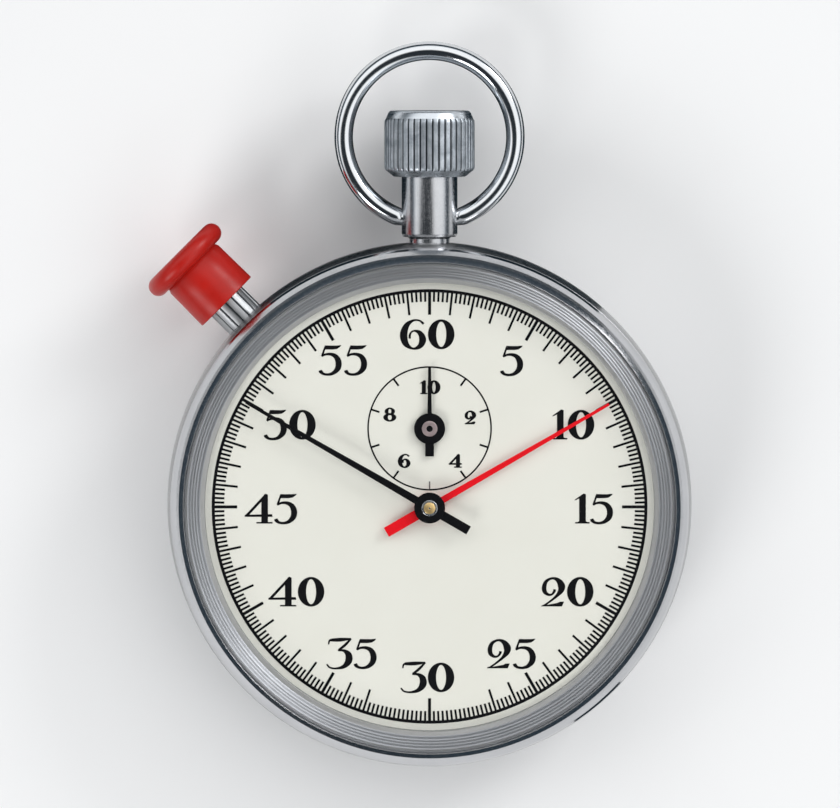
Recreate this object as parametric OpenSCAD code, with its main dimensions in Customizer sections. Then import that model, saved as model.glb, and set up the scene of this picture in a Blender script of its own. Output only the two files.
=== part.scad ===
// Split-seconds mechanical stopwatch, lying on its back: dial towards +Z, crown towards +Y.
// The origin is the centre of the flat rest face of the back cover. Millimetres.

/* [Case] */
// Largest diameter of the case band
case_d = 55; // [54.8:0.1:55.4]
// Height of the crown, bow and pusher axes above the rest face
axis_z = 7.5; // [7.4:0.1:7.6]
// Height of the crystal's crown above the rest face
crystal_top = 17; // [16.6:0.2:17.4]

/* [Crown and bow] */
// Diameter of the fluted crown
crown_d = 9.46; // [9:0.1:9.6]
// Number of flutes on the crown
crown_flutes = 44; // [30:2:48]
// Travel of the crown when it is pressed
crown_travel = 1.2; // [1:0.1:1.2]
// Diameter of the pendant
pendant_d = 5.84; // [5.6:0.1:5.9]
// Radius of the bow, measured to the middle of its wire
bow_r = 9; // [9:0.1:9.4]
// Diameter of the bow's wire
bow_wire_d = 1.94; // [1.8:0.02:1.96]

/* [Split pusher] */
// Diameter of the red cap's flange
cap_d = 9.97; // [9.6:0.1:10.2]
// Diameter of the red cap's barrel
cap_barrel_d = 7.26; // [7:0.1:7.4]
// Travel of the red pusher
cap_travel = 1.5; // [1.2:0.1:1.5]

/* [Hands] */
// Length of the black sweep hand from its arbor
sweep_hand_l = 22.1; // [20:0.1:22.2]
// Length of the red split hand from its arbor
split_hand_l = 21.6; // [20:0.1:22]
// Length of the minute hand from its arbor
minute_hand_l = 6.5; // [5.5:0.1:6.6]

/* [Hidden] */
$fn = 64;

case_r = case_d / 2;

// Levels of the movement, from the back cover up to the hands
lever_z = 1.9;
heart_z = 3.2;
ratchet_z = 4.2;
bridge_z = 4.9;
train_z = 5.9;
plate_z = 9.0;
under_dial_z = 10.0;
dial_z = 11.5;
dial_top = 11.9;
minute_hand_z = 12.3;
split_hand_z = 12.6;
sweep_hand_z = 13.25;

// Radii of the movement's main discs
plate_r = 22.5;
bridge_r = 21.5;
cavity_r = 24.1;

// Tooth numbers of the going train, the minute work and the winding work
barrel_n = 72;
second_pinion_n = 10;
second_n = 64;
third_pinion_n = 8;
third_n = 60;
sweep_pinion_n = 8;
sweep_n = 80;
escape_pinion_n = 8;
escape_n = 15;
first_minute_n = 14;
idle_n = 56;
idle_pinion_n = 16;
minute_n = 40;
crown_wheel_n = 36;
face_n = 24;
stem_pinion_n = 10;
ratchet_n = 44;

// Modules of the gear pairs
train_m = 0.2;
escape_m = 0.15;
idle_m = 0.12;
minute_m = 0.15;

// Arbor positions, seen from the dial
sweep_at = [0, 0];
minute_at = [0, 8.22];
crown_wheel_at = [0, 15.3];
barrel_at = [11.5, 7.5];
second_at = barrel_at + polar(pitch_r(train_m, barrel_n) + pitch_r(train_m, second_pinion_n), 255);
third_at = meet(sweep_at, pitch_r(train_m, sweep_pinion_n) + pitch_r(train_m, third_n),
    second_at, pitch_r(train_m, second_n) + pitch_r(train_m, third_pinion_n), -1);
escape_at = polar(pitch_r(escape_m, sweep_n) + pitch_r(escape_m, escape_pinion_n), 230);
idle_at = meet(sweep_at, pitch_r(idle_m, first_minute_n) + pitch_r(idle_m, idle_n),
    minute_at, pitch_r(minute_m, idle_pinion_n) + pitch_r(minute_m, minute_n), -1);
escape_line = 225;
escape_r = 3.0;
pallet_spread = 30;
fork_at = escape_at + polar(escape_r / cos(pallet_spread), escape_line);
balance_at = fork_at + polar(4.4, escape_line);
column_at = [-8.6, 14.6];
lever_at = [8.4, 19.0];
hammer_at = [-2, -14];
split_column_at = [-10.2, 9.6];
clamp_pivot = [4.75, -3.95];
click_at = [18.9, -0.8];
pusher_dir = 135;

winding_m = 2 * dist(crown_wheel_at, barrel_at) / (crown_wheel_n + ratchet_n);
stem_pinion_r = 2.15;
face_r = stem_pinion_r * face_n / stem_pinion_n;

bow_y = 38.56;
bow_gap_x = 3.0;
bow_pin_y = bow_y - sqrt(bow_r * bow_r - bow_gap_x * bow_gap_x);
crown_y = 33.2 + crown_travel;
crown_h = 6.9;
sleeve_r = 1.24;
cap_at = 28.6 + cap_travel;

// Screw posts of the two bridges
barrel_posts = [[-7.5, 18.5], [12.0, 17.0], [-14, 5.2]];
train_posts = [[17.5, -6.5], [2.5, -17], [-15.5, -1.5]];
cock_line = 227.3;
cock_post = polar(21.0, cock_line);
fork_posts = [for (s = [-1, 1]) fork_at + polar(3.6, escape_line + 90 * s)];

// Arbors that run in matching jewels of the bridge and the plate
jewel_spots = [third_at, escape_at, second_at];

// Angles of the hands at rest, anticlockwise from +X
sweep_rest = 150;
split_rest = 30;
minute_rest = 90;

function polar(r, a) = r * [cos(a), sin(a)];
function dist(p, q) = norm(q - p);
function heading(p, q) = atan2(q[1] - p[1], q[0] - p[0]);
function pitch_r(m, n) = m * n / 2;

// Point at distance rp from p and rq from q; side +1 lies left of the line from p to q
function meet(p, rp, q, rq, side) =
    let (d = dist(p, q), along = (rp * rp - rq * rq + d * d) / (2 * d))
    p + polar(along, heading(p, q)) + polar(sqrt(rp * rp - along * along), heading(p, q) + 90 * side);

// Phase of gear b so that it meshes with gear a, which has a tooth at phase_a
function mesh_phase(line, phase_a, n_a, n_b) =
    line + 180 - 360 / n_b * ((phase_a - line) * n_a / 360 + 0.5);

// Outline of straight-flanked teeth: half angles at the root and at the tip as shares of a pitch
function teeth(n, root_r, tip_r, root_share, tip_share, phase) = [
    for (i = [0:n - 1], c = [[root_r, -root_share], [tip_r, -tip_share],
                             [tip_r, tip_share], [root_r, root_share]])
        polar(c[0], phase + (i + c[1]) * 360 / n)
];

// Points of an arc, for outlines
function arc(centre, r, from, to, steps) =
    [for (i = [0:steps]) centre + polar(r, from + (to - from) * i / steps)];

// Band that winds outwards like a flat spiral spring
function spiral_side(r0, r1, turns, steps, shift) = [
    for (i = [0:turns * steps])
        polar(r0 + (r1 - r0) * i / (turns * steps) + shift, 360 * i / steps)
];
function reversed(list) = [for (i = [len(list) - 1:-1:0]) list[i]];

// Phases of the gears: each pair has a tooth of one in a gap of the other
third_pinion_phase = 0;
second_phase = mesh_phase(heading(third_at, second_at), third_pinion_phase,
    third_pinion_n, second_n);
third_phase = 0;
sweep_pinion_phase = mesh_phase(heading(third_at, sweep_at), third_phase, third_n, sweep_pinion_n);
second_pinion_phase = 0;
barrel_phase = mesh_phase(heading(second_at, barrel_at), second_pinion_phase,
    second_pinion_n, barrel_n);
sweep_phase = 0;
escape_pinion_phase = mesh_phase(heading(sweep_at, escape_at), sweep_phase,
    sweep_n, escape_pinion_n);
first_minute_phase = 0;
idle_phase = mesh_phase(heading(sweep_at, idle_at), first_minute_phase, first_minute_n, idle_n);
idle_pinion_phase = 0;
minute_phase = mesh_phase(heading(idle_at, minute_at), idle_pinion_phase,
    idle_pinion_n, minute_n);
crown_wheel_phase = 0;
ratchet_phase = mesh_phase(heading(crown_wheel_at, barrel_at), crown_wheel_phase,
    crown_wheel_n, ratchet_n);

// Solid of revolution whose own axis lies along +Y at the crown's height
module along_crown(y) {
    translate([0, y, axis_z]) rotate([-90, 0, 0]) children();
}

// The same, pointing outwards along the split pusher's axis
module along_pusher(d) {
    translate([d * cos(pusher_dir), d * sin(pusher_dir), axis_z])
        rotate([0, 90, pusher_dir]) children();
}

module at(p, z) {
    translate([p[0], p[1], z]) children();
}

// Wheel with crossed-out spokes, its bottom face at z
module wheel(n, m, phase, h, spokes, hub_r) {
    r = pitch_r(m, n);
    rim_r = r - 3.2 * m - 0.25;
    linear_extrude(h) {
        difference() {
            polygon(teeth(n, r - 1.25 * m, r + 0.8 * m, 0.21, 0.11, phase));
            circle(rim_r);
        }
        circle(hub_r);
        for (i = [0:spokes - 1])
            rotate(i * 360 / spokes) translate([0, -0.22]) square([rim_r + 0.1, 0.44]);
    }
}

// Pinion with few leaves
module pinion(n, m, phase, h) {
    r = pitch_r(m, n);
    linear_extrude(h) polygon(teeth(n, r - 1.2 * m, r + 0.65 * m, 0.17, 0.1, phase));
}

// Arbor between bridge and plate with a pivot at each end
module arbor(r) {
    translate([0, 0, train_z + 0.05]) cylinder(h = plate_z - train_z - 0.1, r = r);
    translate([0, 0, train_z - 0.5]) cylinder(h = plate_z - train_z + 1, r = 0.2);
}

// ---------- case ----------

module case_band() {
    color("silver") difference() {
        rotate_extrude($fn = 128) polygon([
            [cavity_r, 2.3], [25.6, 2.3], [26.5, 2.9], [27.2, 3.9], [case_r, 5.3],
            [case_r, 9.7], [27.3, 11.2], [26.95, 12.4], [cavity_r, 12.4]
        ]);
        along_crown(20) cylinder(h = 10, r = 2.15);
        along_pusher(20) cylinder(h = 10, r = 2.3);
        along_pusher(27.2) cylinder(h = 3, r = 2.8);
    }
}

module bezel() {
    color("silver") rotate_extrude($fn = 128) polygon([
        [25.6, 12.4], [26.95, 12.4], [27.0, 13.2], [26.75, 14.1], [26.3, 14.7], [25.8, 14.95],
        [25.6, 14.9]
    ]);
}

module inner_ring() {
    color("gray") rotate_extrude($fn = 128) polygon([
        [23.45, dial_top], [24.05, dial_top], [24.05, 12.42], [25.55, 12.42], [25.55, 14.15],
        [25.4, 14.15], [23.45, 12.05]
    ]);
}

module crystal() {
    color("white", 0.25) rotate_extrude($fn = 128) polygon(concat(
        [[0, crystal_top]],
        [for (i = [1:12]) [25.5 * sin(90 * i / 12), 14.9 + (crystal_top - 14.9) * cos(90 * i / 12)]],
        [[25.5, 14.2], [24.3, 14.2]],
        [for (i = [11:-1:0]) [24.3 * sin(90 * i / 12), 14.2 + (crystal_top - 15.4) * cos(90 * i / 12)]]
    ));
}

module back_cover() {
    color("silver") rotate_extrude($fn = 128) polygon([
        [0, 0], [22.6, 0], [24.4, 0.3], [25.3, 1.0], [25.6, 2.3], [24.0, 2.3], [24.0, 3.4],
        [23.3, 3.4], [23.3, 1.3], [0, 1.3]
    ]);
}

module pendant() {
    r = pendant_d / 2;
    color("silver") difference() {
        union() {
            along_crown(24.3) cylinder(h = 4.5, r = 2.12);
            along_crown(28.1) cylinder(h = 8.3, r = r);
        }
        along_crown(24) cylinder(h = 13, r = sleeve_r + 0.06);
        for (s = [-1, 1])
            translate([1.9 * s, bow_pin_y, axis_z]) rotate([0, 90 * s, 0]) cylinder(h = 2, r = 0.86);
    }
}

module bow() {
    half_gap = asin(bow_gap_x / bow_r) - 2;
    color("silver") {
        difference() {
            translate([0, bow_y, axis_z])
                rotate_extrude(angle = 360 - 2 * half_gap, start = half_gap - 90, $fn = 96)
                    translate([bow_r, 0]) circle(bow_wire_d / 2, $fn = 32);
            translate([-bow_gap_x, bow_pin_y - 3, axis_z - 2]) cube([2 * bow_gap_x, 6, 4]);
        }
        for (s = [-1, 1])
            translate([2.0 * s, bow_pin_y, axis_z]) rotate([0, 90 * s, 0])
                cylinder(h = bow_gap_x - 1.6, r = 0.8);
    }
}

module crown() {
    r = crown_d / 2;
    core_r = r - 0.2;
    color("gainsboro") along_crown(crown_y) {
        rotate_extrude($fn = 96) polygon([
            [0.75, 4.2], [3.25, 4.2], [3.25, 0], [3.9, 0], [core_r, 0.75],
            [core_r, crown_h - 0.75], [core_r - 0.75, crown_h], [0, crown_h],
            [0, crown_h - 0.7], [0.75, crown_h - 0.7]
        ]);
        translate([0, 0, 0.85]) linear_extrude(crown_h - 1.85) difference() {
            polygon(teeth(crown_flutes, r - 0.17, r, 0.3, 0.2, 0));
            circle(4);
        }
    }
}

module winding_stem() {
    color("silver") {
        along_crown(22.4) cylinder(h = crown_y + crown_h - 0.7 - 22.4, r = 0.6);
        along_crown(38.7) cylinder(h = crown_y + crown_h - 0.7 - 38.7, r = 0.75);
        along_crown(16.2) translate([-0.4, -0.4, 0]) cube([0.8, 0.8, 6.3]);
    }
}

module crown_sleeve() {
    color("silver") along_crown(24.0) difference() {
        union() {
            cylinder(h = 14.4, r = sleeve_r);
            translate([0, 0, 13.9]) cylinder(h = 0.5, r = 2.2);
        }
        translate([0, 0, -1]) cylinder(h = 18, r = 0.66);
    }
}

module pusher_guide() {
    color("lightsteelblue") along_pusher(24.3) difference() {
        union() {
            cylinder(h = 9.0, r = 2.25);
            translate([0, 0, 2.9]) cylinder(h = 0.45, r = 2.75);
        }
        translate([0, 0, -1]) cylinder(h = 11, r = 1.26);
        for (i = [0:11])
            rotate(i * 30) translate([2.3, 0, 3.5]) cylinder(h = 6, r = 0.16, $fn = 16);
    }
}

module pusher_cap() {
    r = cap_d / 2;
    barrel_r = cap_barrel_d / 2;
    color("red") along_pusher(cap_at) rotate_extrude($fn = 96) polygon(concat(
        [[2.4, 0], [barrel_r, 0], [barrel_r - 0.08, 4.9]],
        arc([r - 1.0, 6.2], 1.0, -110, 80, 10),
        [[0, 7.25], [0, 5.8], [1.2, 5.8], [1.2, 4.9], [2.4, 4.9]]
    ));
}

module pusher_plunger() {
    color("silver") {
        along_pusher(cap_at - 9.4) cylinder(h = 15.19, r = 1.2);
        translate([0, 0, axis_z]) rotate(pusher_dir) translate([cap_at - 9.5, -0.5, -0.5])
            cube([1, 1, 3.4]);
    }
}

module dial() {
    color("ivory") {
        difference() {
            translate([0, 0, dial_z]) cylinder(h = dial_top - dial_z, r = 23.9, $fn = 128);
            translate([0, 0, dial_z - 1]) cylinder(h = 3, r = 0.9);
            at(minute_at, dial_z - 1) cylinder(h = 3, r = 0.5);
        }
        for (a = [-35, 215]) at(polar(18.5, a), under_dial_z) cylinder(h = 1.5, r = 0.5);
    }
}

module movement_ring() {
    color("burlywood") difference() {
        rotate_extrude($fn = 128) polygon([
            [22.55, plate_z], [24.05, plate_z], [24.05, dial_z], [22.55, dial_z]
        ]);
        along_crown(20) cylinder(h = 6, r = 2.3);
        along_pusher(20) cylinder(h = 6, r = 2.4);
    }
}

// ---------- plates ----------

module main_plate() {
    color("gold") difference() {
        translate([0, 0, plate_z]) cylinder(h = under_dial_z - plate_z, r = plate_r, $fn = 128);
        translate([-2.8, 19, plate_z - 1]) cube([5.6, 6, 3]);
        translate([0, 0, axis_z]) rotate(pusher_dir) translate([18.6, -1.4, 0]) cube([5, 2.8, 4]);
        for (p = concat(jewel_spots, [fork_at, balance_at]))
            at(p, plate_z - 1) cylinder(h = 3, r = 0.75);
        for (p = [sweep_at, minute_at]) at(p, plate_z - 1) cylinder(h = 3, r = 1.0);
        at(barrel_at, plate_z - 1) cylinder(h = 3, r = 0.66);
        for (p = concat(barrel_posts, train_posts, [cock_post]))
            at(p, plate_z - 1) cylinder(h = 3, r = 0.5);
    }
    // Stud of the intermediate wheel and pivots of the split work
    color("silver") {
        at(idle_at, under_dial_z) cylinder(h = 0.85, r = 0.35);
        at(split_column_at, under_dial_z) cylinder(h = 1.3, r = 0.5);
        for (s = [-1, 1])
            at([s * clamp_pivot[0], clamp_pivot[1]], under_dial_z) cylinder(h = 1.3, r = 0.5);
    }
}

// Half of the bridge disc on one side of the split line
module bridge_half(side) {
    gap = 0.15;
    intersection() {
        translate([0, 0, bridge_z]) cylinder(h = train_z - bridge_z, r = bridge_r, $fn = 128);
        translate([-30, side > 0 ? 3.4 + gap : -60 + 3.4 - gap, 0]) cube([60, 60, 10]);
    }
}

module bridge_posts(posts) {
    for (p = posts) at(p, bridge_z) cylinder(h = plate_z - bridge_z, r = 1.4);
}

module barrel_bridge() {
    color("gold") difference() {
        union() {
            bridge_half(1);
            bridge_posts(barrel_posts);
            at(crown_wheel_at, ratchet_z - 0.3) cylinder(h = 1.1, r = 1.2);
            at(crown_wheel_at, ratchet_z - 0.6) cylinder(h = 0.4, r = 2.0);
            at(column_at, 2.3) cylinder(h = 2.7, r = 0.6);
            at(lever_at, 2.25) cylinder(h = 2.75, r = 0.6);
        }
        // Recess for the face teeth of the crown wheel, and the slot of the winding pinion
        at(crown_wheel_at, bridge_z - 0.01) difference() {
            cylinder(h = 0.68, r = 6.1);
            translate([0, 0, -1]) cylinder(h = 3, r = 4.3);
        }
        translate([-2.8, 19.2, bridge_z - 1]) cube([5.6, 5, 4]);
        at(barrel_at, bridge_z - 1) cylinder(h = 3, r = 0.66);
        at(minute_at, bridge_z - 1) cylinder(h = 3, r = 0.75);
        for (p = barrel_posts) at(p, bridge_z - 1) cylinder(h = 6, r = 0.5);
    }
}

module train_bridge() {
    color("gold") difference() {
        union() {
            bridge_half(-1);
            bridge_posts(train_posts);
            at(hammer_at, heart_z - 0.35) cylinder(h = bridge_z - heart_z + 0.45, r = 0.6);
            at(click_at, ratchet_z - 0.2) cylinder(h = 1, r = 0.5);
        }
        at(balance_at, bridge_z - 1) cylinder(h = 3, r = 5.7);
        translate([0, 0, bridge_z - 1]) rotate(cock_line) translate([13, -3.3, 0]) cube([10, 6.6, 3]);
        for (p = jewel_spots) at(p, bridge_z - 1) cylinder(h = 3, r = 0.75);
        at(sweep_at, bridge_z - 1) cylinder(h = 3, r = 1.0);
        for (p = train_posts) at(p, bridge_z - 1) cylinder(h = 6, r = 0.5);
    }
}

module balance_cock() {
    color("gold") difference() {
        union() {
            intersection() {
                translate([0, 0, bridge_z]) cylinder(h = train_z - bridge_z, r = 22.3, $fn = 128);
                translate([0, 0, bridge_z]) rotate(cock_line) translate([14.4, -2.4, 0])
                    cube([12, 4.8, 1]);
            }
            at(balance_at, bridge_z) cylinder(h = train_z - bridge_z, r = 2.4);
            intersection() {
                translate([0, 0, bridge_z]) cylinder(h = plate_z - bridge_z, r = 22.3, $fn = 128);
                translate([0, 0, bridge_z]) rotate(cock_line) translate([19.95, -2.4, 0])
                    cube([12, 4.8, plate_z - bridge_z]);
            }
            // Stud that holds the hairspring's outer end
            at(balance_at + polar(3.9, 40), train_z - 0.2) cylinder(h = 0.4, r = 0.3);
            at(balance_at, train_z - 0.4) rotate(40) translate([0, -0.35, 0]) cube([4.1, 0.7, 0.4]);
        }
        at(balance_at, bridge_z - 1) cylinder(h = 4, r = 0.75);
        at(cock_post, bridge_z - 1) cylinder(h = 6, r = 0.5);
    }
}

module pallet_bridge() {
    color("gold") difference() {
        union() {
            translate([fork_at[0], fork_at[1], 7.15]) rotate(escape_line + 90)
                translate([-4.4, -0.75, 0]) cube([8.8, 1.5, 0.4]);
            for (p = fork_posts) at(p, 7.15) cylinder(h = plate_z - 7.15, r = 0.8);
        }
        at(fork_at, 6) cylinder(h = 3, r = 0.26);
    }
}

module bridge_screws() {
    color("steelblue") for (p = concat(barrel_posts, train_posts, [cock_post])) {
        at(p, bridge_z - 0.45) difference() {
            union() {
                cylinder(h = 0.45, r = 1.05);
                cylinder(h = 4.7, r = 0.48);
            }
            translate([-1.2, -0.15, -0.2]) cube([2.4, 0.3, 0.4]);
        }
    }
}

module jewel(r, bore) {
    difference() {
        cylinder(h = 0.45, r = r);
        translate([0, 0, -1]) cylinder(h = 3, r = bore);
    }
}

module jewels() {
    color("crimson") {
        for (p = jewel_spots) {
            at(p, train_z - 0.5) jewel(0.74, 0.24);
            at(p, plate_z + 0.05) jewel(0.74, 0.24);
        }
        at(sweep_at, train_z - 0.5) jewel(0.99, 0.55);
        at(sweep_at, plate_z + 0.05) jewel(0.99, 0.43);
        at(minute_at, train_z - 0.5) jewel(0.74, 0.35);
        at(minute_at, plate_z + 0.05) jewel(0.99, 0.35);
        at(fork_at, plate_z + 0.05) jewel(0.74, 0.24);
        at(balance_at, train_z - 0.5) jewel(0.74, 0.24);
        at(balance_at, plate_z + 0.05) jewel(0.74, 0.24);
    }
}

module regulator() {
    color("steelblue") at(balance_at, bridge_z - 0.35) linear_extrude(0.35) difference() {
        union() {
            circle(2.0);
            polygon([polar(1.9, 20), polar(4.6, 43), polar(4.6, 47), polar(1.9, 70)]);
        }
        circle(1.2);
    }
}

module hairspring() {
    turns = 6;
    steps = 20;
    color("steelblue") at(balance_at, 6.12) rotate(40) linear_extrude(0.16)
        polygon(concat(spiral_side(0.9, 3.55, turns, steps, 0),
            reversed(spiral_side(0.9, 3.55, turns, steps, 0.09))));
}

module click_spring() {
    foot = [14.4, -6.6];
    color("steelblue") difference() {
        union() {
            at(foot, ratchet_z + 0.1) cylinder(h = 0.4, r = 0.9);
            translate([0, 0, ratchet_z + 0.1]) linear_extrude(0.4)
                polygon([[14.4, -6.1], [18.7, -3.1], [18.9, -3.3], [15.0, -6.4]]);
        }
        at(foot, ratchet_z - 1) cylinder(h = 3, r = 0.35);
    }
}

module click() {
    tip = barrel_at + polar(pitch_r(winding_m, ratchet_n) + 0.8 * winding_m + 0.06, -32);
    color("steelblue") translate([0, 0, ratchet_z + 0.05]) linear_extrude(0.5) difference() {
        union() {
            translate(click_at) circle(1.1);
            polygon([click_at + [1.0, 0.4], tip + [0.55, 0.1], tip, tip + [0.1, -0.5],
                click_at + [-1.0, 0.4]]);
        }
        translate(click_at) circle(0.54);
    }
}

// ---------- winding work ----------

module winding_pinion() {
    r = stem_pinion_r;
    color("silver") along_crown(19.8) difference() {
        linear_extrude(1.3) polygon(teeth(stem_pinion_n, r - 0.3, r + 0.25, 0.17, 0.11, 90));
        translate([-0.43, -0.43, -1]) cube([0.86, 0.86, 4]);
    }
}

module crown_wheel() {
    r = pitch_r(winding_m, crown_wheel_n);
    color("silver") at(crown_wheel_at, ratchet_z) difference() {
        union() {
            linear_extrude(0.6) polygon(teeth(crown_wheel_n, r - 1.2 * winding_m,
                r + 0.8 * winding_m, 0.2, 0.11, crown_wheel_phase));
            // Face teeth that the winding pinion turns
            for (i = [0:face_n - 1])
                rotate(90 + (i + 0.5) * 360 / face_n) translate([4.55, -0.21, 0.5])
                    cube([face_r + 0.6 - 4.55, 0.42, 0.75]);
        }
        translate([0, 0, -1]) cylinder(h = 3, r = 1.25);
    }
}

module ratchet_wheel() {
    r = pitch_r(winding_m, ratchet_n);
    color("silver") at(barrel_at, ratchet_z) difference() {
        linear_extrude(0.6) polygon(teeth(ratchet_n, r - 1.2 * winding_m,
            r + 0.8 * winding_m, 0.2, 0.11, ratchet_phase));
        translate([-0.55, -0.55, -1]) cube([1.1, 1.1, 3]);
    }
}

module ratchet_screw() {
    color("steelblue") at(barrel_at, ratchet_z - 0.5) difference() {
        cylinder(h = 0.5, r = 2.2);
        translate([-3, -0.2, -0.2]) cube([6, 0.4, 0.4]);
    }
}

module barrel_arbor() {
    color("silver") at(barrel_at, 0) {
        translate([0, 0, bridge_z]) cylinder(h = 4.9, r = 0.6);
        translate([0, 0, train_z + 0.1]) cylinder(h = 2.8, r = 0.9);
        translate([0, 0, 6.55]) cylinder(h = 1.2, r = 1.6);
        translate([-0.55, -0.55, ratchet_z]) cube([1.1, 1.1, 0.75]);
    }
}

module barrel_drum() {
    r = pitch_r(train_m, barrel_n);
    color("gold") at(barrel_at, 0) difference() {
        union() {
            translate([0, 0, 6.45]) cylinder(h = 1.75, r = 6.85);
            translate([0, 0, 7.7]) linear_extrude(0.5) polygon(teeth(barrel_n,
                r - 1.25 * train_m, r + 0.8 * train_m, 0.21, 0.11, barrel_phase));
        }
        translate([0, 0, 6]) cylinder(h = 1.8, r = 6.5);
        translate([0, 0, 6]) cylinder(h = 3, r = 0.96);
    }
}

module barrel_cover() {
    color("gold") at(barrel_at, 6.1) difference() {
        cylinder(h = 0.35, r = 6.85);
        translate([0, 0, -1]) cylinder(h = 3, r = 0.96);
    }
}

module mainspring() {
    turns = 7;
    steps = 24;
    color("lightslategray") at(barrel_at, 6.6) linear_extrude(1.05)
        polygon(concat(spiral_side(1.9, 6.1, turns, steps, 0),
            reversed(spiral_side(1.9, 6.1, turns, steps, 0.22))));
}

// ---------- going train ----------

module second_wheel() {
    color("gold") at(second_at, 0) {
        arbor(0.4);
        translate([0, 0, 8.45]) wheel(second_n, train_m, second_phase, 0.3, 4, 1.0);
        translate([0, 0, 7.6]) pinion(second_pinion_n, train_m, second_pinion_phase, 0.85);
    }
}

module third_wheel() {
    color("gold") at(third_at, 0) {
        arbor(0.35);
        translate([0, 0, 6.9]) wheel(third_n, train_m, third_phase, 0.3, 4, 1.0);
        translate([0, 0, 8.3]) pinion(third_pinion_n, train_m, third_pinion_phase, 0.6);
    }
}

module sweep_wheel() {
    color("gold") difference() {
        translate([0, 0, 6.1]) wheel(sweep_n, escape_m, sweep_phase, 0.3, 4, 1.1);
        translate([0, 0, 5]) cylinder(h = 3, r = 0.5);
    }
}

module sweep_arbor() {
    color("silver") {
        translate([0, 0, 2.9]) cylinder(h = train_z + 0.6 - 2.9, r = 0.5);
        translate([0, 0, train_z + 0.55]) cylinder(h = 2.5, r = 0.45);
        translate([0, 0, 6.6]) pinion(sweep_pinion_n, train_m, sweep_pinion_phase, 0.9);
        translate([0, 0, 8.9]) cylinder(h = 4.95, r = 0.38);
        translate([0, 0, 10.15]) pinion(first_minute_n, idle_m, first_minute_phase, 0.25);
    }
}

// Heart-shaped reset cam with its notch towards +Y
module heart(r_min, r_max, h, bore) {
    linear_extrude(h) difference() {
        polygon([for (i = [0:47]) polar(r_min + (r_max - r_min) * abs(i - 24) / 24, 7.5 * i + 270)]);
        circle(bore);
    }
}

module sweep_heart() {
    color("silver") translate([0, 0, heart_z]) rotate(sweep_rest) heart(0.85, 2.15, 0.5, 0.5);
}

// Flat pointer along +X with a tail, cut from thin sheet
module pointer(length, tail, tail_w, root_w, tip_w, hub_r, h) {
    linear_extrude(h) {
        polygon([[-tail, -tail_w / 2], [0, -tail_w / 2], [0, -root_w / 2], [length, -tip_w / 2],
            [length, tip_w / 2], [0, root_w / 2], [0, tail_w / 2], [-tail, tail_w / 2]]);
        circle(hub_r);
    }
}

module sweep_hand() {
    color("black") difference() {
        union() {
            translate([0, 0, sweep_hand_z]) rotate(sweep_rest)
                pointer(sweep_hand_l, 4.7, 0.95, 0.8, 0.3, 1.6, 0.18);
            translate([0, 0, sweep_hand_z - 0.15]) cylinder(h = 0.65, r = 1.1);
        }
        translate([0, 0, 12]) cylinder(h = 3, r = 0.38);
    }
}

module escape_wheel() {
    tip = escape_r;
    color("gold") at(escape_at, 0) {
        arbor(0.3);
        translate([0, 0, 6.02]) pinion(escape_pinion_n, escape_m, escape_pinion_phase, 0.6);
        translate([0, 0, 7.95]) linear_extrude(0.3) {
            difference() {
                polygon([for (i = [0:escape_n - 1], c = [[2.25, -0.26], [tip, -0.08],
                    [tip, 0.03], [2.25, 0.05]]) polar(c[0], escape_line + (i + c[1]) * 24)]);
                circle(1.8);
            }
            circle(0.8);
            for (i = [0:3]) rotate(i * 90) translate([0, -0.2]) square([1.9, 0.4]);
        }
    }
}

// Lever with its slot towards the balance and two arms for the pallet stones
module pallet_fork() {
    color("silver") at(fork_at, 0) {
        translate([0, 0, 7.6]) cylinder(h = 1.35, r = 0.3);
        translate([0, 0, 7.17]) cylinder(h = 2.3, r = 0.2);
        translate([0, 0, 7.95]) rotate(escape_line) linear_extrude(0.32) {
            polygon([[-0.3, -0.3], [2.6, -0.22], [3.3, -0.6], [3.3, -0.2], [2.9, -0.14],
                [2.9, 0.14], [3.3, 0.2], [3.3, 0.6], [2.6, 0.22], [-0.3, 0.3]]);
            circle(0.42);
            for (s = [-1, 1]) polygon([[0.35, 0.1 * s], [0.0, 2.35 * s], [-0.5, 2.3 * s],
                [-0.25, 0.1 * s]]);
        }
    }
}

module pallet_stones() {
    color("crimson") for (s = [-1, 1])
        at(escape_at, 7.9) rotate(escape_line + s * pallet_spread)
            translate([escape_r + 0.15, -0.17, 0]) cube([0.34, 0.34, 0.42]);
}

module balance_wheel() {
    color("gold") at(balance_at, 6.5) {
        linear_extrude(0.5) {
            difference() {
                circle(5.2);
                circle(4.6);
            }
            difference() {
                union() {
                    circle(0.9);
                    translate([-4.7, -0.35]) square([9.4, 0.7]);
                }
                circle(0.35);
            }
        }
    }
}

module balance_staff() {
    color("silver") at(balance_at, 0) {
        translate([0, 0, train_z + 0.05]) cylinder(h = plate_z - train_z - 0.1, r = 0.35);
        translate([0, 0, train_z - 0.5]) cylinder(h = plate_z - train_z + 1, r = 0.2);
        translate([0, 0, 7.65]) cylinder(h = 0.15, r = 0.95);
    }
}

module impulse_pin() {
    color("crimson") at(balance_at + polar(0.7, escape_line + 180), 7.8) cylinder(h = 0.55, r = 0.12);
}

// ---------- minute counter ----------

module intermediate_wheel() {
    color("gold") at(idle_at, 0) difference() {
        union() {
            translate([0, 0, 10.15]) wheel(idle_n, idle_m, idle_phase, 0.25, 4, 1.2);
            translate([0, 0, 10.4]) pinion(idle_pinion_n, minute_m, idle_pinion_phase, 0.42);
        }
        translate([0, 0, 10]) cylinder(h = 2, r = 0.38);
    }
}

module minute_wheel() {
    color("gold") at(minute_at, 0) {
        translate([0, 0, 2.9]) cylinder(h = 9.6, r = 0.29);
        translate([0, 0, 10.5]) wheel(minute_n, minute_m, minute_phase, 0.25, 3, 0.7);
    }
}

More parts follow.
